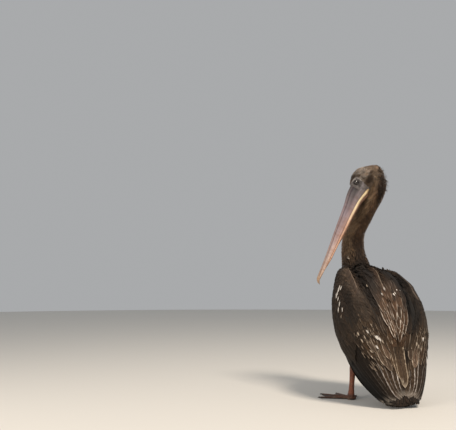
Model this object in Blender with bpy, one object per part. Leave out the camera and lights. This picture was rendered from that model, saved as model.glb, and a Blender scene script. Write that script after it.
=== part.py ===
"""A life-size Peruvian pelican, standing upright with its head turned over its left shoulder.

The bird faces -Y, its left side is +X and the floor is z = 0. The body, neck and folded wings
are lofts around one spine that runs from the tail to the top of the neck: a section of the
spine gives the trunk its outline, and the wings, scapulars and primaries are pads that lie over
it. The head, bill and pouch are lofts on axes of their own, and so are the legs and the tail.
"""
import math

import bmesh
import bpy
import numpy as np
from mathutils import Matrix, Vector

# ---------------------------------------------------------------- driving dimensions, in metres
GAP = 0.0003             # clearance between two pieces that meet
BILL_LENGTH = 0.372      # feathers of the brow to the tip of the nail
BILL_HEADING = 56.0      # degrees that the bill is turned to the bird's left
BILL_DROP = 65.0         # degrees that the bill points below the horizon
HEAD_ROLL = 25.0         # degrees that the crown is tipped towards the bird's back
SKULL_TILT = 19.0        # degrees between the bill and the long axis of the skull
BILL_ROOT = Vector((0.038, -0.008, 0.735))
SKULL_RISE = 0.011       # how far the axis of the skull lies above that of the bill
EYE_RADIUS = 0.0085
EYE_BEHIND_ROOT = 0.014
EYE_ABOVE_AXIS = 0.020
FOOT_BASE = Vector((0.086, -0.022, 0.012))
TOE_OUT = {1: 32.0, -1: 24.0}    # degrees that the middle toe points outwards, left and right
RING_POINTS = 24         # points round each section of the trunk and neck

# The spine from the tail's tip to the top of the neck. Each station has the place of its
# middle, then the half width, the depth towards the back and the depth towards the belly.
SPINE = {
    "tail tip": ((0.000, 0.157, 0.010), 0.058, 0.010, 0.014),
    "tail root": ((0.000, 0.122, 0.085), 0.062, 0.030, 0.040),
    "rump": ((0.000, 0.088, 0.145), 0.086, 0.054, 0.066),
    "hips": ((0.000, 0.055, 0.205), 0.106, 0.078, 0.090),
    "belly": ((0.000, 0.024, 0.270), 0.116, 0.092, 0.104),
    "breast": ((0.000, -0.008, 0.335), 0.116, 0.094, 0.104),
    "shoulders": ((0.000, -0.048, 0.394), 0.098, 0.076, 0.090),
    "neck root": ((0.000, -0.089, 0.443), 0.062, 0.047, 0.062),
    "crop": ((0.000, -0.115, 0.492), 0.046, 0.046, 0.048),
    "low neck": ((-0.003, -0.126, 0.547), 0.042, 0.042, 0.042),
    "mid neck": ((-0.008, -0.113, 0.600), 0.038, 0.038, 0.038),
    "high neck": ((-0.015, -0.073, 0.645), 0.036, 0.036, 0.036),
    "upper neck": ((-0.020, -0.034, 0.684), 0.033, 0.033, 0.033),
    "nape": ((-0.024, -0.001, 0.718), 0.034, 0.034, 0.033),
    "neck top": ((-0.024, 0.016, 0.757), 0.034, 0.040, 0.033),
    "in the skull": ((-0.020, 0.018, 0.788), 0.028, 0.034, 0.026),
}
# The form over the folded wings, at the same places: half width, depth to back and to belly.
FORM = {
    "tail tip": (0.063, 0.018, 0.054),
    "tail root": (0.113, 0.042, 0.098),
    "rump": (0.142, 0.066, 0.106),
    "hips": (0.161, 0.107, 0.102),
    "belly": (0.164, 0.130, 0.084),
    "breast": (0.154, 0.127, 0.052),
    "shoulders": (0.122, 0.094, 0.028),
    "neck root": (0.086, 0.070, 0.056),
    "crop": (0.060, 0.055, 0.050),
}
FORM_POWER = 0.80        # below 1 the sections of that form are fuller than an oval
STATIONS = list(SPINE)


SIDES = (("left", 1), ("right", -1))


def station(name):
    """Where a named station lies along the spine, counted in stations from the tail."""
    return STATIONS.index(name)


def material(name, colour, roughness):
    made = bpy.data.materials.new(name)
    made.use_nodes = True
    shader = made.node_tree.nodes["Principled BSDF"]
    shader.inputs["Base Color"].default_value = (*colour, 1.0)
    shader.inputs["Roughness"].default_value = roughness
    return made


def between(rows, at):
    """A row read from a table of rows at a place between two of them, on a smooth curve."""
    rows = np.asarray(rows, float)
    last = len(rows) - 1
    at = min(max(at, 0.0), last)
    low = min(int(at), last - 1)
    part = at - low
    before, start, end, after = (rows[min(max(low + k, 0), last)] for k in (-1, 0, 1, 2))
    return 0.5 * (
        2 * start
        + (end - before) * part
        + (2 * before - 5 * start + 4 * end - after) * part**2
        + (3 * start - before - 3 * end + after) * part**3
    )


def spine_section(at):
    """The middle, the side and back directions, and the three half sizes of the body there."""
    rows = [(*place, *sizes) for place, *sizes in SPINE.values()]
    row = between(rows, at)
    step = 0.02
    ahead, behind = between(rows, at + step)[:3], between(rows, at - step)[:3]
    along = Vector(ahead - behind).normalized()
    side = (Vector((1, 0, 0)) - along * along.x).normalized()
    back = along.cross(side)
    return Vector(row[:3]), side, back, row[3:]


def envelope_point(at, angle, lift=0.0):
    """A point of the body's surface. Angle 0 is the line of the back and 90 the bird's left side."""
    middle, side, back, (width, to_back, to_belly) = spine_section(at)
    turn = math.radians(angle)
    depth = to_back if math.cos(turn) > 0 else to_belly
    offset = side * (width * math.sin(turn)) + back * (depth * math.cos(turn))
    return middle + offset * (1 + lift / offset.length)


def form_point(at, angle, lift=0.0):
    """A point of the form over the folded wings, by the same angles as the body's surface."""
    middle, side, back, _ = spine_section(at)
    width, to_back, to_belly = between(list(FORM.values()), at)
    across, rise = math.sin(math.radians(angle)), math.cos(math.radians(angle))
    depth = to_back if rise > 0 else to_belly
    offset = side * (width * math.copysign(abs(across) ** FORM_POWER, across))
    offset += back * (depth * math.copysign(abs(rise) ** FORM_POWER, rise))
    return middle + offset * (1 + lift / offset.length)


def station_place(name, offset):
    """The middle of the body a little past a named place on the spine."""
    return spine_section(station(name) + offset)[0]


def new_object(name, mesh, finish):
    obj = bpy.data.objects.new(name, mesh)
    PARTS.objects.link(obj)
    mesh.materials.append(finish)
    mesh.shade_smooth()
    mesh.set_sharp_from_angle(angle=math.radians(50))
    return obj


def loft(name, rings, finish, closed_start=None, closed_end=None):
    """A closed body over rings of points. An end is a flat cap, or runs to the point that is given."""
    made = bmesh.new()
    loops = [[made.verts.new(point) for point in ring] for ring in rings]
    count = len(loops[0])
    for low, high in zip(loops, loops[1:]):
        for k in range(count):
            after = (k + 1) % count
            made.faces.new((low[k], low[after], high[after], high[k]))
    for loop, tip in ((loops[0], closed_start), (loops[-1], closed_end)):
        if tip is None:
            made.faces.new(loop)
            continue
        point = made.verts.new(tip)
        for k in range(count):
            made.faces.new((loop[k], loop[(k + 1) % count], point))
    bmesh.ops.recalc_face_normals(made, faces=made.faces)
    bmesh.ops.triangulate(made, faces=made.faces, quad_method="FIXED")
    mesh = bpy.data.meshes.new(name)
    made.to_mesh(mesh)
    made.free()
    return new_object(name, mesh, finish)


def as_cutter(obj):
    obj.hide_render = True
    obj.display_type = "WIRE"
    for collection in list(obj.users_collection):
        collection.objects.unlink(obj)
    CUTTERS.objects.link(obj)
    return obj


def cut(obj, *cutters):
    for cutter in cutters:
        modifier = obj.modifiers.new("clear of " + cutter.name, "BOOLEAN")
        modifier.operation = "DIFFERENCE"
        modifier.object = cutter
    return obj


# ---------------------------------------------------------------- trunk and neck


def body_rings(start, end, step, grow=0.0):
    """Sections of the body from one place on the spine to another."""
    count = max(2, round((end - start) / step) + 1)
    angles = np.linspace(0, 360, RING_POINTS, endpoint=False)
    return [
        [envelope_point(at, angle, grow) for angle in angles]
        for at in np.linspace(start, end, count)
    ]


def body_length(name, start, end, finish, step=0.5, **ends):
    """One length of the trunk or neck. Its flat ends stand back from their neighbours' by the gap."""
    first, last = (spine_section(at) for at in (start, end))
    rings = body_rings(start, end, step)
    along = [section[2].cross(section[1]) * -1 for section in (first, last)]
    if "closed_start" not in ends:
        rings[0] = [point + along[0] * (GAP / 2) for point in rings[0]]
    if "closed_end" not in ends:
        rings[-1] = [point - along[1] * (GAP / 2) for point in rings[-1]]
    return loft(name, rings, finish, **ends)


def build_trunk_and_neck(plumage, *neck_cutters):
    trunk_top = station("neck root") + 0.5
    neck_middle = station("mid neck") + 0.5
    neck_end = station("in the skull")
    tail_end = station_place("tail root", -0.4)
    body_length("trunk", station("tail root") - 0.3, trunk_top, plumage, closed_start=tail_end)
    body_length("neck_lower", trunk_top, neck_middle, plumage)
    skull_end = station_place("in the skull", 0.0)
    upper = body_length("neck_upper", neck_middle, neck_end, plumage, closed_end=skull_end)
    cut(upper, *neck_cutters)


# ---------------------------------------------------------------- pads that lie over the trunk

# Each row: place on the spine, the angles of the upper and lower edge, the lift of the outer
# face over the form at its upper edge, upper third, lower third and lower edge, and thickness.
FOLDED_WING = [
    (6.95, 66, 104, -0.020, -0.004, -0.004, -0.020, 0.022),
    (6.65, 52, 116, 0.002, 0.008, 0.002, -0.014, 0.044),
    (6.10, 46, 122, 0.006, 0.008, 0.002, -0.012, 0.052),
    (5.40, 42, 126, 0.000, 0.004, 0.002, -0.012, 0.056),
    (4.50, 36, 128, 0.000, 0.002, 0.002, -0.012, 0.056),
    (3.60, 28, 126, -0.002, 0.000, 0.002, -0.010, 0.054),
    (2.70, 12, 122, -0.002, 0.000, 0.000, -0.010, 0.050),
    (1.80, 1.5, 116, 0.002, 0.001, 0.000, -0.008, 0.042),
    (1.00, 0.6, 108, 0.003, 0.000, 0.000, -0.006, 0.030),
    (0.50, 0.6, 98, 0.000, 0.000, 0.000, -0.006, 0.018),
    (0.06, 3.0, 86, -0.003, -0.001, -0.001, -0.006, 0.008),
]
PRIMARIES = [
    (4.20, 124, 134, -0.016, -0.010, -0.010, -0.016, 0.020),
    (3.40, 118, 142, -0.014, -0.006, -0.006, -0.014, 0.022),
    (2.40, 112, 146, -0.012, -0.004, -0.004, -0.012, 0.024),
    (1.40, 104, 144, -0.010, -0.004, -0.004, -0.010, 0.022),
    (0.70, 94, 138, -0.008, -0.004, -0.004, -0.008, 0.018),
    (0.26, 84, 120, -0.006, -0.004, -0.004, -0.006, 0.012),
    (0.04, 78, 102, -0.006, -0.005, -0.005, -0.006, 0.008),
]
# The scapulars: the same, but lifted over the body itself.
SCAPULARS = [
    (6.80, 8, 40, 0.000, 0.004, 0.004, 0.000, 0.020),
    (6.20, 2, 50, 0.004, 0.012, 0.016, 0.014, 0.030),
    (5.40, 2, 54, 0.006, 0.016, 0.024, 0.026, 0.040),
    (4.50, 2, 46, 0.008, 0.018, 0.024, 0.022, 0.040),
    (3.60, 2, 36, 0.010, 0.020, 0.024, 0.020, 0.040),
    (2.70, 2, 24, 0.012, 0.018, 0.020, 0.016, 0.035),
    (2.20, 4, 14, 0.010, 0.012, 0.012, 0.010, 0.030),
]


def pad_ring(surface, row, side, grow, columns=9):
    """A closed section of a pad: its outer face from edge to edge, and back again inside."""
    at, top, bottom, *lifts, thickness = row
    top, bottom = top - math.degrees(grow / 0.1), bottom + math.degrees(grow / 0.1)
    outer = []
    inner = []
    for k, share in enumerate(np.linspace(0, 1, columns)):
        lift = float(between([[value] for value in lifts], share * 3)[0])
        rim = 0.004 * abs(2 * share - 1) ** 6
        angle = side * (top + (bottom - top) * share)
        outer.append(surface(at, angle, lift - rim + grow))
        if k % 2 == 0:
            inner.insert(0, surface(at, angle, lift - thickness - grow))
    return outer + inner


def pad(name, rows, side, finish, surface=form_point, rings=16, grow=0.0):
    """A pad from a table of rows; side is 1 for the left of the bird and -1 for the right."""
    places = np.linspace(0, len(rows) - 1, rings)
    return loft(name, [pad_ring(surface, between(rows, at), side, grow) for at in places], finish)


def build_pads(plumage, flight, trunk_cutter):
    for word, side in SIDES:
        wing = pad(f"{word}_wing", FOLDED_WING, side, plumage, rings=13)
        wing_cutter = pad(f"room for {word} wing", FOLDED_WING, side, plumage, rings=13, grow=GAP)
        as_cutter(pad(f"room for {word} primaries", PRIMARIES, side, flight, rings=9, grow=GAP))
        scapulars = pad(f"{word}_scapulars", SCAPULARS, side, plumage, surface=envelope_point, rings=9)
        tips = pad(f"{word}_primaries", PRIMARIES, side, flight, rings=9)
        cut(wing, trunk_cutter)
        cut(scapulars, trunk_cutter, as_cutter(wing_cutter))
        cut(tips, trunk_cutter, wing_cutter)


# ---------------------------------------------------------------- head, bill and eyes


def head_axes():
    """The direction of the bill, the crown's side of it and the bird's left side of the head."""
    turn, drop, roll = (math.radians(a) for a in (BILL_HEADING, BILL_DROP, HEAD_ROLL))
    level = Vector((math.sin(turn), -math.cos(turn), 0))
    left = Vector((math.cos(turn), math.sin(turn), 0))
    up = Vector((0, 0, 1))
    bill = level * math.cos(drop) - up * math.sin(drop)
    crown = level * math.sin(drop) + up * math.cos(drop)
    rolled = crown * math.cos(roll) + left * math.sin(roll)
    return bill, rolled, left * math.cos(roll) - crown * math.sin(roll)


BILL, CROWN, HEAD_LEFT = head_axes()
SKULL_AXIS = BILL * math.cos(math.radians(SKULL_TILT)) + CROWN * math.sin(math.radians(SKULL_TILT))
SKULL_UP = CROWN * math.cos(math.radians(SKULL_TILT)) - BILL * math.sin(math.radians(SKULL_TILT))

# Sections of the skull, by their distance behind the root of the bill: half width, height
# above the axis and depth below it.
SKULL = [
    (-0.002, 0.0220, 0.028, 0.046),
    (0.018, 0.0270, 0.041, 0.048),
    (0.035, 0.0310, 0.046, 0.048),
    (0.055, 0.0345, 0.042, 0.050),
    (0.076, 0.0350, 0.032, 0.052),
    (0.097, 0.0320, 0.025, 0.051),
    (0.113, 0.0210, 0.014, 0.040),
]
SKULL_END = 0.121
# Sections of the closed bill, by their share of its length: half width, height of the upper
# half, height of the lower half, depth of the pouch under that, and place of the mouth line.
BILL_SECTIONS = [
    (-0.07, 0.0240, 0.0470, 0.0180, 0.012, -0.024),
    (0.00, 0.0225, 0.0465, 0.0180, 0.011, -0.0190),
    (0.08, 0.0215, 0.0400, 0.0140, 0.006, -0.0110),
    (0.16, 0.0210, 0.0340, 0.0120, 0.006, -0.0075),
    (0.28, 0.0200, 0.0280, 0.0100, 0.006, -0.0050),
    (0.50, 0.0190, 0.0215, 0.0090, 0.007, -0.0040),
    (0.77, 0.0180, 0.0120, 0.0080, 0.006, -0.0020),
    (0.87, 0.0170, 0.0100, 0.0070, 0.004, -0.0015),
    (0.94, 0.0125, 0.0090, 0.0055, 0.002, -0.0010),
]
GAPE = 0.024             # how far the corner of the mouth lies behind the root of the bill


def oval(middle, side, up, width, height, depth, count=20):
    """A ring of points: half width to the sides, height above the middle and depth below it."""
    points = []
    for turn in np.linspace(0, 2 * math.pi, count, endpoint=False):
        across, rise = math.sin(turn), math.cos(turn)
        points.append(middle + side * (width * across) + up * ((height if rise > 0 else depth) * rise))
    return points


def skull_place(behind):
    return BILL_ROOT + CROWN * SKULL_RISE - SKULL_AXIS * behind


def skull_rings(grow=0.0, rings=9):
    made = []
    for at in np.linspace(0, len(SKULL) - 1, rings):
        behind, width, height, depth = between(SKULL, at)
        middle = skull_place(behind)
        made.append(oval(middle, HEAD_LEFT, SKULL_UP, width + grow, height + grow, depth + grow, 20))
    return made


def bill_row(share):
    """The sizes of the bill at a share of its length, and the place of the mouth line."""
    shares, *columns = zip(*BILL_SECTIONS)
    at = float(np.interp(share, shares, range(len(shares))))
    return [float(value) for value in between(list(zip(*columns)), at)]


def mouth_point(share):
    """The middle of the closed mouth line at a share of the bill's length."""
    return BILL_ROOT + BILL * (BILL_LENGTH * share) + CROWN * bill_row(share)[-1]


def half_ring(middle, side, up, width, height, ridge, count=5):
    """A section with a flat face at the mouth line and a domed back with a low ridge along it."""
    dome = []
    for turn in np.linspace(-math.pi / 2, math.pi / 2, count * 2 + 1):
        across, rise = math.sin(turn), math.cos(turn)
        keel = (1 + ridge * math.exp(-((across / 0.28) ** 2))) / (1 + ridge)
        climb = height * (0.12 + 0.88 * rise**0.8) * keel
        dome.append(middle + side * (width * across) + up * climb)
    flat = [middle + side * (width * share) for share in (0.94, 0.0, -0.94)]
    return dome + flat


def build_bill(horn, pale_horn, nail_horn, pouch_skin):
    upper = []
    for share in (-0.03, 0.05, 0.1, 0.17, 0.26, 0.38, 0.5, 0.62, 0.74, 0.84, 0.9, 0.93):
        width, height, *_ = bill_row(share)
        upper.append(half_ring(mouth_point(share) + CROWN * GAP, HEAD_LEFT, CROWN, width, height, 0.14))
    upper = loft("upper_bill", upper, horn)
    nail = []
    for share in (0.931, 0.955, 0.975, 0.99):
        width, height, *_ = bill_row(share)
        hook = max(0.0, share - 0.955) / 0.045
        middle = mouth_point(share) + CROWN * (GAP - 0.010 * hook**1.6)
        narrow = 1 - 0.62 * (max(0.0, share - 0.931) / 0.069) ** 1.5
        nail.append(half_ring(middle, HEAD_LEFT, CROWN, width * narrow, height * (1 - 0.3 * hook), 0.14))
    tip = mouth_point(1.0) - CROWN * 0.013 + BILL * 0.001
    loft("bill_nail", nail, nail_horn, closed_end=tip)
    back = -GAPE / BILL_LENGTH
    lower = []
    room = []
    for share in (back, back / 2, 0.0, 0.05, 0.1, 0.17, 0.26, 0.38, 0.5, 0.62, 0.74, 0.84, 0.9, 0.925):
        width, _, depth, *_ = bill_row(share)
        depth *= 1 - 0.35 * max(0.0, share / back)
        middle = mouth_point(share)
        lower.append(half_ring(middle - CROWN * GAP, HEAD_LEFT, -CROWN, width, depth, 0.0))
        room.append(half_ring(middle + CROWN * GAP, HEAD_LEFT, -CROWN, width + GAP, depth + 3 * GAP, 0.0))
    loft("lower_bill", lower, pale_horn)
    room[0] = [point - BILL * GAP for point in room[0]]
    bill_room = as_cutter(loft("room for lower bill", room, pale_horn))
    pouch = []
    for share in (-0.02, 0.05, 0.1, 0.17, 0.26, 0.38, 0.5, 0.62, 0.74, 0.86):
        width, _, depth, sag, _ = bill_row(share)
        middle = mouth_point(share) - CROWN * (depth * 0.5)
        pouch.append(half_ring(middle, HEAD_LEFT, -CROWN, width * 0.84, sag + depth * 0.5, 0.0))
    return upper, loft("throat_pouch", pouch, pouch_skin), bill_room


def eye_place(side):
    behind, width, height, _ = between(SKULL, 1.0)
    across = width * math.sqrt(1 - (EYE_ABOVE_AXIS / height) ** 2)
    middle = skull_place(EYE_BEHIND_ROOT) + SKULL_UP * EYE_ABOVE_AXIS
    return middle + HEAD_LEFT * side * (across - EYE_RADIUS * 0.55)


def ball(name, middle, radius, finish):
    made = bmesh.new()
    bmesh.ops.create_uvsphere(made, u_segments=10, v_segments=6, radius=radius)
    bmesh.ops.translate(made, verts=made.verts, vec=middle)
    mesh = bpy.data.meshes.new(name)
    made.to_mesh(mesh)
    made.free()
    return new_object(name, mesh, finish)


def build_head(plumage, iris, bill_room):
    head = loft("head", skull_rings(), plumage, closed_end=skull_place(SKULL_END))
    cut(head, bill_room)
    for word, side in SIDES:
        ball(f"{word}_eye", eye_place(side), EYE_RADIUS, iris)
        cut(head, as_cutter(ball(f"socket for {word} eye", eye_place(side), EYE_RADIUS + GAP, iris)))
    return head


# ---------------------------------------------------------------- legs, feet and tail

# Sections down the leg as far as the foot: middle of the section, half width across the leg
# and half depth from front to back.
THIGH = [
    ((0.048, 0.000, 0.275), 0.024, 0.030),
    ((0.058, -0.020, 0.235), 0.038, 0.044),
    ((0.065, -0.030, 0.190), 0.037, 0.041),
    ((0.070, -0.028, 0.150), 0.025, 0.029),
    ((0.072, -0.026, 0.124), 0.0150, 0.0170),
    ((0.073, -0.025, 0.112), 0.0115, 0.0135),
]
SHANK = [
    ((0.073, -0.025, 0.112), 0.0095, 0.0115),
    ((0.073, -0.025, 0.102), 0.0112, 0.0135),
    ((0.074, -0.026, 0.090), 0.0098, 0.0118),
    ((0.078, -0.025, 0.065), 0.0080, 0.0105),
    ((0.082, -0.023, 0.038), 0.0080, 0.0108),
    ((0.085, -0.022, 0.020), 0.0098, 0.0128),
    ((0.086, -0.022, 0.012), 0.0120, 0.0150),
]
# Toes, from the hind toe round to the outer one: degrees outwards from the middle toe, length,
# and half width at the root.
TOES = [
    ("hind", -82, 0.052, 0.0052),
    ("inner", -29, 0.090, 0.0060),
    ("middle", 0, 0.113, 0.0066),
    ("outer", 32, 0.104, 0.0060),
]
WEB_THICKNESS = 0.0030
TOE_HEIGHT = 0.0105
CLAW_LENGTH = 0.011
TAIL = [
    ((0.000, 0.086, 0.125), 0.030, 0.010),
    ((0.000, 0.112, 0.090), 0.038, 0.008),
    ((0.000, 0.134, 0.045), 0.047, 0.006),
    ((0.000, 0.150, 0.000), 0.054, 0.004),
]


def leg_rings(rows, side, level_ends, rings=8):
    """Sections down a leg. They lie level, so a leg's two lengths meet on a level face."""
    made = []
    for at in np.linspace(0, len(rows) - 1, rings):
        x, y, z, width, depth = between([(*place, *sizes) for place, *sizes in rows], at)
        z += GAP * level_ends[0] if at == 0 else 0
        z += GAP * level_ends[1] if at == len(rows) - 1 else 0
        middle = Vector((side * x, y, z))
        made.append(oval(middle, Vector((1, 0, 0)), Vector((0, -1, 0)), width, depth, depth, 12))
    return made


def toe_line(side, heading, length, share):
    turn = math.radians(heading + TOE_OUT[side])
    ahead = Vector((side * math.sin(turn), -math.cos(turn), 0))
    base = Vector((side * FOOT_BASE.x, FOOT_BASE.y, 0))
    return base + ahead * (length * share), ahead


def foot_columns(side, share):
    """Points across the webbed foot at one share of the toes' length, each with its height."""
    columns = []
    rows = []
    for _, heading, length, width in TOES:
        middle, ahead = toe_line(side, heading, length, share)
        across = Vector((-ahead.y, ahead.x, 0)) * side
        half = width * (1 - 0.45 * share)
        top = WEB_THICKNESS + (TOE_HEIGHT - WEB_THICKNESS) * (1 - 0.55 * share)
        low = WEB_THICKNESS
        rows.append([(middle - across * half, low), (middle, top), (middle + across * half, low)])
    for k, row in enumerate(rows):
        columns += row
        if k + 1 < len(rows):
            start, end = row[-1][0], rows[k + 1][0][0]
            base = Vector((side * FOOT_BASE.x, FOOT_BASE.y, 0))
            for part in (0.33, 0.67):
                point = start.lerp(end, part)
                slack = 1 - 0.13 * share * math.sin(math.pi * part) * (start - end).length / 0.05
                columns.append((base + (point - base) * slack, WEB_THICKNESS))
    return columns


def build_foot(word, side, web_skin, horn):
    """The four toes and the web between them, flat underneath, with a pad behind under the shank."""
    made = bmesh.new()
    shares = [0.20, 0.45, 0.75, 1.0]
    sheets = [foot_columns(side, share) for share in shares]
    count = len(sheets[0])
    base = Vector((side * FOOT_BASE.x, FOOT_BASE.y, 0))
    pad_height = FOOT_BASE.z - GAP
    first = TOES[0][1] + TOE_OUT[side] - 25
    last = TOES[-1][1] + TOE_OUT[side] + 25
    behind = []
    back = []
    for k in range(count):
        for row, turn in ((behind, first + (last - first) * k / (count - 1)),
                          (back, first - (360 - last + first) * k / (count - 1))):
            turn = math.radians(turn)
            ahead = Vector((side * math.sin(turn), -math.cos(turn), 0))
            row.append((base + ahead * 0.0165, pad_height))
    sheets = [back, behind] + sheets
    tops = [[made.verts.new(point + Vector((0, 0, height))) for point, height in row] for row in sheets]
    soles = [[made.verts.new(point) for point, _ in row] for row in sheets]
    for rows in (tops, soles):
        for near, far in zip(rows, rows[1:]):
            for k in range(count - 1):
                made.faces.new((near[k], near[k + 1], far[k + 1], far[k]))
    for k in range(count - 1):
        made.faces.new((tops[0][k], tops[0][k + 1], soles[0][k + 1], soles[0][k]))
        made.faces.new((tops[-1][k], tops[-1][k + 1], soles[-1][k + 1], soles[-1][k]))
    for near, far, under, beyond in zip(tops, tops[1:], soles, soles[1:]):
        for k in (0, -1):
            made.faces.new((near[k], far[k], beyond[k], under[k]))
    bmesh.ops.remove_doubles(made, verts=made.verts, dist=0.00005)
    bmesh.ops.recalc_face_normals(made, faces=made.faces)
    mesh = bpy.data.meshes.new(f"{word}_foot")
    made.to_mesh(mesh)
    made.free()
    new_object(f"{word}_foot", mesh, web_skin)
    for toe, heading, length, width in TOES:
        end, ahead = toe_line(side, heading, length, 1.0)
        across = Vector((-ahead.y, ahead.x, 0))
        rings = []
        for share, size in ((0.0, 0.0026), (0.4, 0.0023), (0.75, 0.0014)):
            middle = end + ahead * (GAP + CLAW_LENGTH * share) + Vector((0, 0, 0.0036 - 0.0012 * share**2))
            rings.append(oval(middle, across, Vector((0, 0, 1)), size * 0.8, size, size, 6))
        tip = end + ahead * (GAP + CLAW_LENGTH) + Vector((0, 0, 0.0016))
        loft(f"{word}_{toe}_claw", rings, horn, closed_end=tip)


def build_tail(flight, *cutters):
    rings = []
    for at in np.linspace(0, len(TAIL) - 1, 7):
        x, y, z, width, thick = between([(*place, *sizes) for place, *sizes in TAIL], at)
        arch = []
        for share in (-1, -0.75, -0.5, -0.25, 0, 0.25, 0.5, 0.75, 1):
            arch.append((share * width, -0.012 * share**2))
        outer = [Vector((x + across, y + thick / 2 + drop, z)) for across, drop in arch]
        inner = [Vector((x + across * 0.97, y - thick / 2 + drop, z)) for across, drop in reversed(arch)]
        rings.append(outer + inner)
    return cut(loft("tail", rings, flight), *cutters)


def main():
    plumage = material("plumage", (0.10, 0.075, 0.055), 0.8)
    flight = material("flight feathers", (0.05, 0.045, 0.04), 0.7)
    horn = material("grey horn", (0.34, 0.30, 0.33), 0.45)
    pale_horn = material("pale horn", (0.75, 0.62, 0.42), 0.45)
    nail_horn = material("nail horn", (0.30, 0.24, 0.20), 0.4)
    pouch_skin = material("pouch skin", (0.16, 0.11, 0.10), 0.6)
    leg_skin = material("leg skin", (0.30, 0.13, 0.07), 0.6)
    iris = material("eye", (0.03, 0.025, 0.02), 0.1)
    claw_horn = material("claw horn", (0.05, 0.04, 0.035), 0.4)

    upper_bill, pouch, bill_room = build_bill(horn, pale_horn, nail_horn, pouch_skin)
    build_head(plumage, iris, bill_room)
    head_cutter = as_cutter(
        loft("room for head", skull_rings(GAP), plumage, closed_end=skull_place(SKULL_END + GAP))
    )
    build_trunk_and_neck(plumage, head_cutter, bill_room)
    trunk_cutter = as_cutter(
        loft(
            "room for trunk",
            body_rings(station("tail root") - 0.3, station("neck root") + 0.5, 0.5, GAP),
            plumage,
            closed_start=station_place("tail root", -0.41),
        )
    )
    neck_cutter = as_cutter(
        loft("room for neck", body_rings(station("high neck"), station("in the skull"), 0.5, GAP), plumage)
    )
    cut(upper_bill, head_cutter)
    cut(pouch, bill_room, head_cutter, neck_cutter)
    build_pads(plumage, flight, trunk_cutter)
    wings = [
        bpy.data.objects[f"room for {word} {part}"] for word, _ in SIDES for part in ("wing", "primaries")
    ]
    build_tail(flight, trunk_cutter, *wings)
    for word, side in SIDES:
        thigh = loft(f"{word}_thigh", leg_rings(THIGH, side, (0, 0.5)), plumage)
        cut(thigh, trunk_cutter, *wings)
        loft(f"{word}_shank", leg_rings(SHANK, side, (-0.5, 0.5)), leg_skin)
        build_foot(word, side, leg_skin, claw_horn)


def stand_on_centre():
    """Move everything so that the middle of the whole bird's footprint is over the world's origin."""
    graph = bpy.context.evaluated_depsgraph_get()
    corners = [vertex.co for obj in PARTS.objects for vertex in obj.evaluated_get(graph).data.vertices]
    low, high = (Vector(pick(corner[k] for corner in corners) for k in range(3)) for pick in (min, max))
    middle = (low + high) / 2
    middle.z = low.z
    for obj in list(PARTS.objects) + list(CUTTERS.objects):
        obj.data.transform(Matrix.Translation(-middle))
    return middle


for old in list(bpy.data.objects):
    bpy.data.objects.remove(old)
PARTS = bpy.data.collections.new("Peruvian pelican")
CUTTERS = bpy.data.collections.new("Cutters")
for group in (PARTS, CUTTERS):
    bpy.context.scene.collection.children.link(group)
main()
OFFSET = stand_on_centre()
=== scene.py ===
import math

import bmesh
import bpy
import numpy as np
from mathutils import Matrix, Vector
from mathutils.bvhtree import BVHTree
from mathutils.kdtree import KDTree


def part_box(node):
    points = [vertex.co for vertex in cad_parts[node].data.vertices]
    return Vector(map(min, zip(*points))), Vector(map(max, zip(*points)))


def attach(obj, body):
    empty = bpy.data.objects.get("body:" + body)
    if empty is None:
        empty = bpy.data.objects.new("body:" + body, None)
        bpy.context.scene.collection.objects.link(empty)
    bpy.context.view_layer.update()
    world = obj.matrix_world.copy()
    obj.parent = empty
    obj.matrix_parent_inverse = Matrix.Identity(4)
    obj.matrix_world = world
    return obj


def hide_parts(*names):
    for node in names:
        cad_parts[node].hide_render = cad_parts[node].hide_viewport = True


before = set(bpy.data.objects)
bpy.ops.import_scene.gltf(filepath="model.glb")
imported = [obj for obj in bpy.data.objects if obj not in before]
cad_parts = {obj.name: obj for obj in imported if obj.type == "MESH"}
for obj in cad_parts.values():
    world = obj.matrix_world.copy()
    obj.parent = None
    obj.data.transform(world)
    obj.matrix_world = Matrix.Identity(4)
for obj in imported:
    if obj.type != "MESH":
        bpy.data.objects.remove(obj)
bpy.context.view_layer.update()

# ---------------------------------------------------------------- the body under the coat
# A pelican's body is one form of flesh: neck, breast and back run into each other, and the folded
# wings and the scapulars lie against it. The solids are fused here into one mesh that isn't shown,
# and skin and feathers are laid on it.

SIDES = (("left", 1), ("right", -1))
FUSE = 0.0006            # each solid is swollen by this, so that it runs into its neighbours
WELD = 0.00002           # corners of a solid's loose triangles that are closer than this are one
BODY_VOXEL = 0.0030
FLESH = ["trunk", "neck_lower", "neck_upper", "head"]
FLESH += [f"{word}_{part}" for word, _ in SIDES for part in ("wing", "scapulars", "thigh")]


def new_piece(name, mesh, material=None):
    piece = bpy.data.objects.new(name, mesh)
    bpy.context.scene.collection.objects.link(piece)
    if material:
        mesh.materials.append(material)
    return piece


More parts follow.
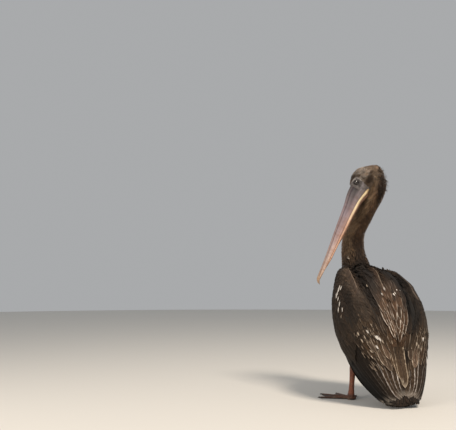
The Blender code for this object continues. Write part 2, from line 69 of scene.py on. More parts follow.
def fused(name, nodes, voxel, soften, grow=FUSE):
    """A fine mesh over copies of these solids: swollen, joined, remeshed and softened."""
    made = bmesh.new()
    for node in nodes:
        solid = bmesh.new()
        solid.from_mesh(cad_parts[node].data)
        bmesh.ops.remove_doubles(solid, verts=solid.verts, dist=WELD)
        solid.normal_update()
        for vertex in solid.verts:
            vertex.co += vertex.normal * grow
        part = bpy.data.meshes.new(node)
        solid.to_mesh(part)
        solid.free()
        made.from_mesh(part)
        bpy.data.meshes.remove(part)
    rough = bpy.data.meshes.new(name)
    made.to_mesh(rough)
    made.free()
    piece = new_piece(name, rough)
    remesh = piece.modifiers.new("fuse", "REMESH")
    remesh.mode = "VOXEL"
    remesh.voxel_size = voxel
    graph = bpy.context.evaluated_depsgraph_get()
    fine = bpy.data.meshes.new_from_object(piece.evaluated_get(graph))
    bpy.data.objects.remove(piece)
    bpy.data.meshes.remove(rough)
    made = bmesh.new()
    made.from_mesh(fine)
    every_way = {"use_axis_x": True, "use_axis_y": True, "use_axis_z": True}
    for _ in range(soften):
        bmesh.ops.smooth_vert(made, verts=made.verts, factor=0.5, **every_way)
    bmesh.ops.triangulate(made, faces=made.faces)
    made.to_mesh(fine)
    made.free()
    fine.name = name
    return fine


def unit(vectors):
    """Vectors brought to a length of 1."""
    return vectors / np.maximum(np.linalg.norm(vectors, axis=-1, keepdims=True), 1e-9)


def read_all(items, key, width, kind):
    """One property of all the points, edges or triangles of a mesh, as a table."""
    found = np.empty(len(items) * width, kind)
    items.foreach_get(key, found)
    return found.reshape(-1, width)


def mesh_points(mesh):
    return read_all(mesh.vertices, "co", 3, np.float32).astype(float)


def mesh_normals(mesh):
    return read_all(mesh.vertex_normals, "vector", 3, np.float32).astype(float)


def mesh_edges(mesh):
    return read_all(mesh.edges, "vertices", 2, np.int32)


def mesh_triangles(mesh):
    mesh.calc_loop_triangles()
    return read_all(mesh.loop_triangles, "vertices", 3, np.int32)


def move_points(mesh, points):
    mesh.vertices.foreach_set("co", points.astype(np.float32).ravel())
    mesh.update()


# The line of the backbone, from the tip of the tail to the inside of the skull, as the solids
# were drawn round it. A place along it is counted in these points: 2 is the rump, 5 the breast,
# 7 the root of the neck, 13 the nape.
BACKBONE = np.array([
    (0.000, 0.157, 0.010), (0.000, 0.122, 0.085), (0.000, 0.088, 0.145), (0.000, 0.055, 0.205),
    (0.000, 0.024, 0.270), (0.000, -0.008, 0.335), (0.000, -0.048, 0.394), (0.000, -0.089, 0.443),
    (0.000, -0.115, 0.492), (-0.003, -0.126, 0.547), (-0.008, -0.113, 0.600), (-0.015, -0.073, 0.645),
    (-0.020, -0.034, 0.684), (-0.024, -0.001, 0.718), (-0.024, 0.016, 0.757), (-0.020, 0.018, 0.788),
])
STANDS_AT = np.array([-0.0040, -0.0016, 0.0])    # where that drawing stands in the frame
BACKBONE = BACKBONE + STANDS_AT


def smooth_row(rows, at):
    """Rows of a table read at places between them, on a smooth curve."""
    at = np.clip(np.asarray(at, float), 0, len(rows) - 1)
    low = np.minimum(at.astype(int), len(rows) - 2)
    part = (at - low)[..., None]
    before, start, end, after = (rows[np.clip(low + k, 0, len(rows) - 1)] for k in (-1, 0, 1, 2))
    return 0.5 * (
        2 * start
        + (end - before) * part
        + (2 * before - 5 * start + 4 * end - after) * part**2
        + (3 * start - before - 3 * end + after) * part**3
    )


def backbone_frame(at):
    """The middle of the body, and the directions along it, to its left and to its back."""
    along = unit(smooth_row(BACKBONE, at + 0.02) - smooth_row(BACKBONE, at - 0.02))
    left = unit(np.array([1.0, 0, 0]) - along * along[..., :1])
    return smooth_row(BACKBONE, at), along, left, np.cross(along, left)


def body_place(points):
    """Where points lie: their place along the backbone, and degrees round it from the back line."""
    samples = np.linspace(0, len(BACKBONE) - 1, 601)
    middles, _, lefts, backs = backbone_frame(samples)
    found = np.empty(len(points), int)
    batch = 4000             # so many points at a time, to spare memory
    for start in range(0, len(points), batch):
        gap = points[start:start + batch, None] - middles[None]
        found[start:start + batch] = (gap**2).sum(-1).argmin(1)
    away = points - middles[found]
    turn = np.degrees(np.arctan2((away * lefts[found]).sum(-1), (away * backs[found]).sum(-1)))
    return samples[found], turn


def smoothstep(value, low, high):
    """0 below low and 1 above high, with a soft step between."""
    share = np.clip((value - low) / (high - low), 0, 1)
    return share * share * (3 - 2 * share)


def peak(value, middle, reach):
    """1 at the middle, falling off softly to both sides over the reach."""
    return np.exp(-(((value - middle) / reach) ** 2))


def diffuse(values, edges, count, times):
    """Values at the points of a mesh, evened out between neighbours."""
    ends = np.concatenate([edges[:, 0], edges[:, 1]])
    others = np.concatenate([edges[:, 1], edges[:, 0]])
    neighbours = np.maximum(np.bincount(ends, minlength=count), 1)[:, None]
    for _ in range(times):
        columns = [np.bincount(ends, column[others], count) for column in values.T]
        values = values * 0.4 + np.stack(columns, -1) / neighbours * 0.6
    return values


# The head's own directions: along the bill, up through the crown and to the bird's left.
BILL_HEADING, BILL_DROP, HEAD_ROLL, SKULL_TILT = (math.radians(a) for a in (56, 65, 25, 19))
BILL_ROOT = np.array([0.038, -0.008, 0.735]) + STANDS_AT
level = np.array([math.sin(BILL_HEADING), -math.cos(BILL_HEADING), 0])
level_left = np.array([math.cos(BILL_HEADING), math.sin(BILL_HEADING), 0])
BILL = level * math.cos(BILL_DROP) - np.array([0, 0, 1]) * math.sin(BILL_DROP)
CROWN = level * math.sin(BILL_DROP) + np.array([0, 0, 1]) * math.cos(BILL_DROP)
HEAD_LEFT = level_left * math.cos(HEAD_ROLL) - CROWN * math.sin(HEAD_ROLL)
CROWN = CROWN * math.cos(HEAD_ROLL) + level_left * math.sin(HEAD_ROLL)
SKULL_BACK = -(BILL * math.cos(SKULL_TILT) + CROWN * math.sin(SKULL_TILT))
SKULL_UP = CROWN * math.cos(SKULL_TILT) - BILL * math.sin(SKULL_TILT)
SKULL_ROOT = BILL_ROOT + CROWN * 0.011


def head_place(points):
    """How far points lie behind the root of the bill, above the skull's axis and to the left."""
    away = points - SKULL_ROOT
    return away @ SKULL_BACK, away @ SKULL_UP, away @ HEAD_LEFT


# The upper and lower edge of the folded wing, in degrees round the backbone from the back line.
edge_at = np.arange(0, 8.01, 0.5)


def wing_edges():
    """Both edges, measured on the left wing's solid, and past its front end taken as at its front."""
    found = []
    place, turn = body_place(mesh_points(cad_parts["left_wing"].data))
    for at in edge_at:
        near = turn[np.abs(place - at) < 0.45]
        if len(near) < 4 and at > 6:
            near = np.array([66.0, 104.0])
        found.append((max(near.min(), 2.0), near.max()))
    evened = (0.25, 0.5, 0.25)
    return [np.convolve(np.pad(edge, 1, mode="edge"), evened, "valid") for edge in np.array(found).T]


upper_edge, lower_edge = wing_edges()

# Over the shoulders the plumage of the wing folds over a hollow, along this line on both sides.
fold_at = np.array((4.0, 4.3, 4.6, 4.8, 5.0, 5.35, 5.7, 6.25, 7.0))
fold_turn = np.array((40.0, 41.0, 42.0, 43.0, 45.0, 46.5, 48.5, 52.0, 58.0))


BROW_FULLER, CROWN_FLATTER = 0.0044, 0.0050      # how much coat is added and lies closer there
NECK_FILL, NECK_SOFTENED = 0.016, 110            # the deepest crease filled, and in how many steps
FOLD_RIDGE, FOLD_HOLLOW, SADDLE_DIP = 0.0018, 0.0066, 0.009


def skull_shaped(points):
    """A fuller brow and a flatter crown, by the thickness of their feathers."""
    behind, above, left = head_place(points)
    near = np.abs(left) < 0.06
    fuller = BROW_FULLER * peak(behind, 0.063, 0.017) * smoothstep(above, 0.004, 0.030) * near
    flatter = CROWN_FLATTER * peak(behind, 0.107, 0.0165) * smoothstep(above, -0.014, 0.006) * near
    return points + SKULL_UP * fuller[:, None] - unit(SKULL_UP + SKULL_BACK) * flatter[:, None]


def neck_root_filled(points, normals, edges, at, turn):
    """The crease where the neck rises from the shoulders, filled as the feathers there fill it."""
    root = smoothstep(at, 5.9, 6.7) * (1 - smoothstep(at, 8.2, 9.2))
    root = root * (1 - smoothstep(np.abs(turn), 120, 150))
    chosen = np.flatnonzero(root > 0)
    order = np.full(len(points), -1)
    order[chosen] = np.arange(len(chosen))
    inner = order[edges]
    inner = inner[(inner >= 0).all(1)]
    soft = diffuse(points[chosen], inner, len(chosen), NECK_SOFTENED)
    gap = ((soft - points[chosen]) * normals[chosen]).sum(-1)
    points = points.copy()
    points[chosen] += normals[chosen] * (np.clip(gap, 0, NECK_FILL) * root[chosen])[:, None]
    return points


def eased(mesh):
    """Shapes the fused form as its coat does: fuller brow, filled neck root, the wing's upper edge
    folded over a hollow, and a dip between the neck and the right shoulder."""
    points, normals = skull_shaped(mesh_points(mesh)), mesh_normals(mesh)
    at, turn = body_place(points)
    points = neck_root_filled(points, normals, mesh_edges(mesh), at, turn)
    inside = np.abs(turn) - np.interp(at, fold_at, fold_turn)
    held = smoothstep(at, 4.2, 5.0) * (1 - smoothstep(at, 6.3, 7.0))
    folded = FOLD_RIDGE * peak(inside, 7, 6) - FOLD_HOLLOW * peak(inside, -6, 6)
    saddle = smoothstep(at, 6.00, 6.40) * (1 - smoothstep(at, 6.9, 7.6))
    saddle = saddle * smoothstep(-turn, 14, 28) * (1 - smoothstep(-turn, 66, 84))
    move_points(mesh, points + normals * (folded * held - SADDLE_DIP * saddle)[:, None])
    return mesh


form_mesh = eased(fused("form", FLESH + ["left_eye", "right_eye"], BODY_VOXEL, 3))
form_points, form_normals = mesh_points(form_mesh), mesh_normals(form_mesh)
form_faces = mesh_triangles(form_mesh)
form_tree = BVHTree.FromPolygons(form_points.tolist(), form_faces.tolist())

# Which solid each point of the form belongs to.
owners = []
owner_points = []
owner_faces = []
for node in FLESH:
    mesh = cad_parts[node].data
    owner_faces += (mesh_triangles(mesh) + len(owner_points)).tolist()
    owners += [node] * (len(owner_faces) - len(owners))
    owner_points += mesh_points(mesh).tolist()
owner_tree = BVHTree.FromPolygons(owner_points, owner_faces)
form_owner = np.array([owners[owner_tree.find_nearest(point)[2]] for point in form_points])

# The surface read by place and turn: a grid of points where lines towards the backbone first
# meet the body, its wings and the primaries.
GRID_STEP, GRID_TURN = 0.05, 3.0
BODY_REACH, NECK_REACH = 0.30, 0.12      # how far from the backbone the lines start
NECK_FROM = 7.4
grid_at = np.arange(0, 8.6, GRID_STEP)
grid_turn = np.arange(-180, 180, GRID_TURN)
wing_nodes = [f"{word}_{part}" for word, _ in SIDES for part in ("wing", "scapulars", "primaries")]
hull_mesh = eased(fused("hull", ["trunk", "neck_lower", "neck_upper"] + wing_nodes, BODY_VOXEL, 3))
hull_tree = BVHTree.FromPolygons(mesh_points(hull_mesh).tolist(), mesh_triangles(hull_mesh).tolist())


def body_grid():
    """The points of that grid, evened out a little."""
    middles, _, lefts, backs = backbone_frame(grid_at)
    found = np.zeros((len(grid_at), len(grid_turn), 3))
    for row in range(len(grid_at)):
        reach = BODY_REACH if grid_at[row] < NECK_FROM else NECK_REACH
        for column in range(len(grid_turn)):
            turn = math.radians(grid_turn[column])
            out = lefts[row] * math.sin(turn) + backs[row] * math.cos(turn)
            hit = hull_tree.ray_cast(middles[row] + out * reach, -out, reach)
            found[row, column] = hit[0] if hit[0] else middles[row] + out * 0.01
    for _ in range(2):
        side = (np.roll(found, 1, 1) + np.roll(found, -1, 1)) / 2
        before, after = np.concatenate([found[:1], found[:-1]]), np.concatenate([found[1:], found[-1:]])
        found = found * 0.5 + side * 0.25 + (before / 2 + after / 2) * 0.25
    return found


surface_grid = body_grid()
along_grid = np.gradient(surface_grid, axis=0) / GRID_STEP
round_grid = (np.roll(surface_grid, -1, 1) - np.roll(surface_grid, 1, 1)) / (2 * GRID_TURN)
normal_grid = unit(np.cross(along_grid, round_grid))


def read_grid(grid, at, turn):
    """A grid's value at any place and turn, blended between its four nearest points."""
    row = np.clip(np.asarray(at, float) / GRID_STEP, 0, len(grid_at) - 1.001)
    column = (np.asarray(turn, float) + 180) / GRID_TURN
    low, left = row.astype(int), np.floor(column).astype(int)
    down, over = (row - low)[..., None], (column - left)[..., None]
    left, right = left % len(grid_turn), (left + 1) % len(grid_turn)
    near = grid[low, left] * (1 - over) + grid[low, right] * over
    far = grid[low + 1, left] * (1 - over) + grid[low + 1, right] * over
    return near * (1 - down) + far * down


# How the coat lies: lines run from the neck to the tail between the back line, the upper and
# lower edge of the folded wing and the belly line, so they close in towards the tail as they do
# on the bird. A share of 0 to 1 is the back, 1 to 2 the wing and 2 to 3 the breast and belly.


def edges_of_wing(at):
    return np.interp(at, edge_at, upper_edge), np.interp(at, edge_at, lower_edge)


def turn_of(at, share):
    """Degrees round the backbone of a line of the coat, from its share."""
    upper, lower = edges_of_wing(at)
    on_wing = upper + (lower - upper) * (share - 1)
    beneath = lower + (180 - lower) * (share - 2)
    return np.where(share < 1, upper * share, np.where(share < 2, on_wing, beneath))


def share_of(at, turn):
    """The other way about: the share at so many degrees round."""
    upper, lower = edges_of_wing(at)
    turn = np.abs(turn)
    on_wing = 1 + (turn - upper) / (lower - upper)
    beneath = 2 + (turn - lower) / (180 - lower)
    return np.where(turn < upper, turn / upper, np.where(turn < lower, on_wing, beneath))


FEATHER_REACH = 0.3          # how far back along the coat's lines a feather points
EVENED = 22                  # how many times the lie is evened out between neighbours


def lie_of_coat():
    """The way the feathers point at each point of the form."""
    share = share_of(form_at, form_turn)
    behind = np.maximum(form_at - FEATHER_REACH, 0.02)
    turn = np.sign(form_turn) * turn_of(behind, share)
    lie = read_grid(surface_grid, behind, turn) - read_grid(surface_grid, form_at, form_turn)
    neck = form_at > 7.6
    lie[neck] = -backbone_frame(form_at[neck])[1]
    lie = unit(lie)
    head = form_owner == "head"
    lie[head] = unit(form_points[head] - (SKULL_ROOT - SKULL_BACK * 0.05))
    thigh = np.char.endswith(form_owner, "thigh")
    lie[thigh] = unit(np.array([0.0, 0.15, -1.0]))
    lie = unit(lie - form_normals * (lie * form_normals).sum(-1, keepdims=True))
    lie = diffuse(lie, mesh_edges(form_mesh), len(form_points), EVENED)
    return unit(lie - form_normals * (lie * form_normals).sum(-1, keepdims=True))


form_at, form_turn = body_place(form_points)
form_lie = lie_of_coat()

# ---------------------------------------------------------------- skin
# One skin runs over neck, head, trunk, wings and thighs, as deep under the surface of the solids
# as the coat is thick. Only the face is bare: grey, finely wrinkled skin from the bill to behind
# the eye, where it meets the feathers of the cheek in a clean edge.


def linear(code):
    """A colour given as six sRGB hex digits, as the shaders take it."""
    channels = [int(code[k:k + 2], 16) / 255 for k in (0, 2, 4)]
    return [c / 12.92 if c <= 0.04045 else ((c + 0.055) / 1.055) ** 2.4 for c in channels]


def node(tree, kind, inputs=(), output=0, **settings):
    """Adds a node with its settings, sets or links its inputs, and gives one of its outputs. A
    text is a colour in hex digits."""
    made = tree.nodes.new("ShaderNode" + kind)
    for key, value in settings.items():
        setattr(made, key, value)
    for socket, value in dict(inputs).items():
        if isinstance(value, bpy.types.NodeSocket):
            tree.links.new(value, made.inputs[socket])
        else:
            made.inputs[socket].default_value = (*linear(value), 1) if isinstance(value, str) else value
    return made.outputs[output]


def across_mm(size):
    """The scale of a pattern whose cells are so many millimetres across."""
    return 1000 / size


def new_material(name, **sockets):
    """A material and its tree, with the numbers that are the same all over set on its shader."""
    made = bpy.data.materials.new(name)
    made.use_nodes = True
    shader = made.node_tree.nodes["Principled BSDF"]
    for socket, value in sockets.items():
        shader.inputs[socket.replace("_", " ")].default_value = value
    return made, made.node_tree, shader


# Settings and sockets that the nodes below share: a soft step from 0 to 1 between two values, two
# colours mixed by a share (socket 0), and two colours multiplied.
SOFT_STEP = {"interpolation_type": "SMOOTHSTEP"}
MIXED = {"data_type": "RGBA", "output": 2}
MULTIPLIED = {"data_type": "RGBA", "output": 2, "blend_type": "MULTIPLY"}
FIRST, SECOND = 6, 7         # the sockets of a Mix node's two colours


def toned(tone, other, share):
    """Colours mixed with another, each as far as its share says."""
    other = np.array(linear(other)) if isinstance(other, str) else other
    return tone + (other - tone) * share[:, None]


FACE_ENDS = 0.0285           # how far behind the root of the bill the bare face ends


def bare_face(points):
    """1 on the bare skin of the face, 0 on the feathers. A wedge of feathers runs down the brow."""
    behind, above, left = head_place(points)
    wedge = np.minimum(0.0280, -0.008 + 1.85 * np.abs(left))
    edge = FACE_ENDS + (wedge - FACE_ENDS) * smoothstep(above, 0.021, 0.030)
    edge = edge + 0.0012 * np.sin(above * 700) + 0.003 * smoothstep(-above, 0.018, 0.028)
    return 1 - smoothstep(behind, edge - 0.0010, edge + 0.0010)


PLUMAGE = {
    "back": "4B3C2F", "scapulars": "5E4A3A", "wing": "3B322A", "flank": "2D241C", "breast": "463829",
    # hollow is painted shade in the hollow under the wing's fold, and ridge a painted highlight along the
    # ridge beside it
    "belly": "5E5142", "thigh": "4A3C2F", "hollow": "211A15", "ridge": "544A42", "neck": "382A1F",
    # the high neck, neck side and neck front are paler partly in their own colour and partly as painted
    # light on the neck under the head and bill
    "high neck": "564538", "pale lit neck side": "70604F", "pale lit neck front": "937A66", "crown": "76685D",
    "brow": "B6AFAA", "cheek": "54432F", "crest": "302318", "dark patch and brow shadow": "382A1E", "pale band": "A08F7C",
}

# Painted light and shade: where the plumage is painted darker than its own colour, as shade in the
# hollows by the wings, at the neck's root and low on the flanks, or paler, as light on the neck, the
# ridges and the back: place along the back and degrees round it, how far that reaches along and
# round, and how much.
PAINTED_LIGHT_AND_SHADE = (
    (6.0, 26, 0.80, 14, 0.14), (5.0, 27, 0.55, 9, 0.28), (3.9, 31, 0.90, 6, 0.40),
    (7.1, 12, 0.55, 30, 0.45), (5.7, -24, 0.55, 14, 0.20), (5.5, -51, 0.45, 8, 0.20),
    (4.9, -34, 0.50, 10, 0.14), (4.0, -36, 0.65, 9, 0.12), (3.2, -34, 0.65, 8, 0.20),
    (4.3, 62, 1.50, 6, 0.45), (1.8, -19, 0.50, 7, 0.18), (2.0, 12, 0.30, 7, 0.55),
    (1.9, 71, 0.80, 7, 0.60), (0.9, 84, 0.60, 8, 0.45), (0.3, 108, 1.20, 26, 0.12),
    (0.45, 12, 0.12, 14, 0.25), (2.8, 9, 0.35, 5, 1.70), (1.0, 22, 0.50, 6, 1.30),
    (2.4, -60, 0.30, 8, 1.30), (5.7, 0, 0.40, 8, 0.50), (13.0, 48, 0.80, 14, 1.25),
    (12.0, 50, 0.90, 12, 1.35), (12.6, 26, 1.40, 50, 1.30), (10.3, 20, 0.70, 60, 1.35),
    (14.0, 0, 0.50, 36, 1.50), (0.9, 110, 1.00, 14, 0.40), (5.0, -27, 0.60, 14, 0.62),
    (3.9, -25, 0.70, 9, 0.62), (1.8, -17, 0.40, 6, 0.50), (0.2, 92, 0.50, 16, 0.35),
    (6.2, -24, 0.50, 16, 0.50), (5.7, -55, 0.50, 10, 0.50), (6.9, 24, 0.40, 12, 0.62),
    (5.0, 62, 0.40, 7, 0.62), (0.0, 100, 0.40, 22, 0.35), (9.4, 0, 1.00, 60, 1.30),
    (13.5, 32, 0.50, 16, 2.00), (12.4, 10, 0.60, 34, 1.50), (6.0, 60, 0.70, 7, 1.35),
    (5.2, 53, 0.35, 5, 1.30), (10.2, 10, 0.90, 50, 1.50), (14.2, -10, 0.60, 26, 1.80),
    (14.0, 24, 0.60, 20, 1.30),
)

# Marks on the side of the head: how far behind the bill's root and above the skull's axis, how
# long and tall, which colour and how strong.
HEAD_MARKS = (
    (0.050, -0.006, 0.021, 0.014, "dark patch and brow shadow", 0.8), (0.070, 0.007, 0.008, 0.006, "dark patch and brow shadow", 0.9),
    # The marks at 0.034/0.030, 0.022/0.038 and 0.038/0.014, round the top and back of the bare face, are
    # painted shadow under the brow.
    (0.034, 0.030, 0.009, 0.006, "dark patch and brow shadow", 0.85), (0.022, 0.038, 0.014, 0.006, "dark patch and brow shadow", 0.85),
    (0.038, 0.014, 0.005, 0.010, "dark patch and brow shadow", 0.7), (0.059, -0.022, 0.010, 0.012, "dark patch and brow shadow", 0.7),
    (0.055, 0.015, 0.006, 0.005, "pale band", 0.9), (0.081, 0.013, 0.006, 0.004, "pale band", 0.9),
)


def shade(at, turn):
    """Painted light and shade: how much darker or paler the plumage is painted at a place on the body than
    its own colour.
    """
    power = np.zeros(np.shape(at))
    for middle, angle, long, round_about, amount in PAINTED_LIGHT_AND_SHADE:
        reach = np.exp(-(((at - middle) / long) ** 2) - ((turn - angle) / round_about) ** 2)
        power = power + math.log(amount) * reach
    return np.exp(power)


def head_plumage(found, points, at, turn, owner):
    """The markings of the head: pale brow, darker patches, painted shadow under the brow, a pale band over
    the ear and the nape.
    """
    behind, above, left = head_place(points)
    head = (owner == "head").astype(float)
    near_head = ((owner == "head") | (owner == "neck_upper")).astype(float)
    found = toned(found, PLUMAGE["crown"], head)
    found = found * (1 + 0.35 * head * smoothstep(behind, 0.070, 0.095))[:, None]
    wave = np.sin(behind * 510 + 3 * np.sin(left * 260))
    fleck = 0.5 + 0.5 * wave * np.sin(above * 620 + 2 * np.sin(behind * 190))
    brow = (1 - smoothstep(behind, 0.062, 0.084)) * smoothstep(above, -0.004, 0.014)
    found = toned(found, PLUMAGE["brow"], head * brow * (0.62 + 0.38 * fleck))
    middle = smoothstep(0.012 - np.abs(left), 0, 0.006) * smoothstep(0.024 - behind, 0, 0.01)
    found = toned(found, PLUMAGE["crown"], head * brow * middle)
    for mark_behind, mark_above, long, tall, name, amount in HEAD_MARKS:
        away = np.hypot((behind - mark_behind) / long, (above - mark_above) / tall)
        found = toned(found, PLUMAGE[name], near_head * (1 - smoothstep(away, 0.5, 1.15)) * amount)
    band = peak(behind - 0.079 - 0.55 * (above + 0.003), 0, 0.009) * (1 - smoothstep(above, 0.0, 0.012))
    found = toned(found, PLUMAGE["pale band"], near_head * band * 0.55 * smoothstep(above, -0.042, -0.024))
    found = toned(found, PLUMAGE["cheek"], head * (1 - smoothstep(above, -0.034, -0.022)) * 0.8)
    hind = smoothstep(behind, 0.094, 0.106) * (1 - smoothstep(np.abs(left - 0.004), 0.007, 0.015))
    found = toned(found, PLUMAGE["crest"], near_head * hind * 0.8)
    nape = smoothstep(at, 12.5, 13.1) * (1 - smoothstep(at, 13.8, 14.4)) * (1 - smoothstep(turn, 10, 24))
    return toned(found, PLUMAGE["crest"], nape)


def plumage(points, at, turn, owner):
    """The colour of the coat at any place, with its painted light and shade, the same for the skin and for
    every feather.
    """
    light_and_shade = shade(at, turn)
    turn = np.abs(turn)
    x, y, z = (points * 190).T
    mottle = np.sin(x + 2 * np.sin(z * 0.6)) * np.sin(z + 2 * np.sin(y * 0.7))
    on_wing = np.char.endswith(owner, "wing").astype(float)
    beneath = smoothstep(turn, 105, 125) * (1 - on_wing)
    inside = turn - np.interp(at, fold_at, fold_turn)
    # Painted shade in the hollow under the wing's fold, and a painted highlight along the ridge outside it.
    hollow = smoothstep(inside, -17, -11) * (1 - smoothstep(inside, -2, 1)) * smoothstep(at, 3.4, 4.6)
    ridge = smoothstep(inside, -1, 3) * (1 - smoothstep(inside, 8, 22)) * smoothstep(at, 4.4, 5.0)
    found = np.repeat([linear(PLUMAGE["back"])], len(points), 0)
    for name, share in (
        ("scapulars", smoothstep(5.9 - at, 0, 1.2) * (1 - smoothstep(turn, 30, 55))),
        ("wing", on_wing),
        ("flank", on_wing * smoothstep(turn, 72, 100) * smoothstep(5.4 - at, 0, 1.5)),
        ("hollow", hollow * (1 - smoothstep(at, 6.6, 7.4))),
        ("ridge", ridge * (1 - smoothstep(at, 6.4, 7.0))),
        ("breast", beneath),
        ("belly", beneath * smoothstep(4.2 - at, 0, 2.0)),
        ("neck", smoothstep(at, 6.6, 7.6)),
        # Paler upper, side and front neck: partly its own colour, partly painted light.
        ("high neck", smoothstep(at, 9.4, 11.0)),
        ("pale lit neck side", smoothstep(turn + 9 * mottle, 14, 52) * smoothstep(at, 7.0, 8.4)),
        ("pale lit neck front", smoothstep(turn, 60, 110) * smoothstep(at, 7.4, 8.6)),
        ("thigh", np.char.endswith(owner, "thigh").astype(float)),
    ):
        found = toned(found, PLUMAGE[name], share)
    found = head_plumage(found, points, at, turn, owner)
    near_head = (owner == "head") | (owner == "neck_upper")
    # The painted light and shade go over the plumage's own colour here.
    return found * ((1 + (0.22 + 0.16 * near_head) * mottle) * light_and_shade)[:, None]


def set_colours(mesh, name, colours):
    """Keeps a colour for each point of a mesh, for its material to read."""
    attribute = mesh.color_attributes.new(name=name, type="FLOAT_COLOR", domain="POINT")
    rgba = np.ones((len(colours), 4), np.float32)
    rgba[:, :3] = colours
    attribute.data.foreach_set("color", rgba.ravel())


def coat_depth(at, owner, bare):
    """How deep the skin lies under the coat: thin on the head and neck, and none on the bare face."""
    depth = 0.007 - 0.0025 * smoothstep(at, 7.0, 9.0)
    depth = np.where(owner == "head", 0.0026, depth)
    return depth * (1 - bare) + 0.0003


SKIN_VOXEL = 0.004
PROBE = 0.0030               # how far under its surface a piece of flesh is measured from
THIN_FLESH = 0.30            # the most of its thickness that the coat may take


def refine_face(mesh):
    """Cuts the faces round the bare face finer, so that they can take folds and lids."""
    made = bmesh.new()
    made.from_mesh(mesh)
    for reach in (0.050, 0.040):
        chosen = []
        for edge in made.edges:
            middle = np.array((edge.verts[0].co + edge.verts[1].co) / 2)
            behind, above, left = head_place(middle)
            if -0.02 < behind < reach and abs(above) < 0.06 and abs(left) < 0.045:
                chosen.append(edge)
        bmesh.ops.subdivide_edges(made, edges=chosen, cuts=1, use_grid_fill=True)
        bmesh.ops.triangulate(made, faces=made.faces)
    made.to_mesh(mesh)
    made.free()


eye_centre = {word: np.array(sum(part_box(f"{word}_eye"), Vector()) / 2) for word, _ in SIDES}
EYE_RADIUS = 0.0085
EYE_OPENING = 0.0059         # half the width of the opening between the lids


def eye_axis(side):
    """Which way an eye looks: out to its side, a little forward and up."""
    return unit(HEAD_LEFT * side - SKULL_BACK * 0.30 + SKULL_UP * 0.10)


def round_eyes(points):
    """The skin round each eye: open over the ball, a swollen rim, and a crease behind the rim."""
    for word, side in SIDES:
        axis = eye_axis(side)
        away = points - eye_centre[word]
        height = away @ axis
        radial = away - height[:, None] * axis
        gap = np.linalg.norm(radial, axis=1)
        ball = np.sqrt(np.maximum(EYE_RADIUS**2 - gap**2, 0))
        rim = smoothstep(gap, EYE_OPENING - 0.0006, EYE_OPENING + 0.0006)
        fall = smoothstep(gap, EYE_OPENING + 0.001, EYE_OPENING + 0.004)
        want = ball - 0.0022 + rim * (0.0034 - 0.0006 * fall)
        near = (height > -0.002) * (1 - smoothstep(gap, EYE_RADIUS - 0.0010, EYE_RADIUS + 0.0020))
        points = points + axis * ((want - height) * near)[:, None]
        crease = peak(gap - EYE_RADIUS, 0.0018, 0.0009) * (np.abs(height) < 0.012)
        points = points - axis * (0.0007 * crease)[:, None]
    return points


def wrinkle(points, normals, bare):
    """Fine folds that fan from the eye to the bill, over the bare skin."""
    behind, above, _ = head_place(points)
    fan = np.sin(above * 900 + behind * 260 + np.sin(behind * 420) * 1.3)
    return points + normals * (fan * 0.00022 * bare)[:, None]


GREY_FACE = "78716F"
DARK_LIDS = "2E2928"
PALE_LID_GLINT = "C8C0BA"         # a painted glint on the paler outer edge of the upper lid
PALE_STRIPE = "928B90"       # over the bare cheek


def face_tones(points, bare):
    """The colours of the bare face: grey, with painted shade in front of the eye, and a paler stripe."""
    eyes = np.stack([np.linalg.norm(points - eye_centre[word], axis=1) for word, _ in SIDES]).min(0)
    behind, above, _ = head_place(points)
    face = np.array(linear(GREY_FACE))[None] * (0.80 + 0.20 * smoothstep(behind, 0.030, 0.002))[:, None]
    # Painted shade in front of the eye.
    shade_before_eye = smoothstep(above, -0.006, 0.004) * (1 - smoothstep(above, 0.014, 0.022))
    shade_before_eye = shade_before_eye * smoothstep(behind, 0.004, 0.012)
    face = face * (1 - 0.45 * shade_before_eye)[:, None]
    face = face * (1 - 0.32 * (1 - smoothstep(eyes, 0.0105, 0.0180)))[:, None]
    stripe = peak(above + 0.0005 - 0.50 * (behind - 0.027), 0, 0.0050)
    face = toned(face, PALE_STRIPE, stripe * 0.75)
    face = toned(face, PALE_LID_GLINT, peak(eyes, 0.0112, 0.0020) * smoothstep(above, 0.027, 0.032) * bare)
    return toned(face, DARK_LIDS, 1 - smoothstep(eyes, 0.0088, 0.0112))


def build_skin():
    mesh = eased(fused("skin", FLESH + ["left_eye", "right_eye"], SKIN_VOXEL, 3))
    refine_face(mesh)
    points, normals = mesh_points(mesh), mesh_normals(mesh)
    at, turn = body_place(points)
    owner = np.array([owners[owner_tree.find_nearest(point)[2]] for point in points])
    bare = bare_face(points) * (owner == "head")
    depth = coat_depth(at, owner, bare)
    # Where the flesh is thin, the skin goes in by no more than a share of it.
    for k in range(len(points)):
        inside = points[k] - normals[k] * PROBE
        hit = form_tree.ray_cast(inside, -normals[k], 0.05)
        if hit[0]:
            depth[k] = min(depth[k], (hit[3] + PROBE) * THIN_FLESH)
    points = points - normals * (depth - FUSE)[:, None] - normals * FUSE
    points = round_eyes(wrinkle(points, normals, bare))
    move_points(mesh, points)
    tone = toned(plumage(points, at, turn, owner) * 0.7, face_tones(points, bare), bare)
    set_colours(mesh, "tone", tone)
    mesh.shade_smooth()
    return mesh


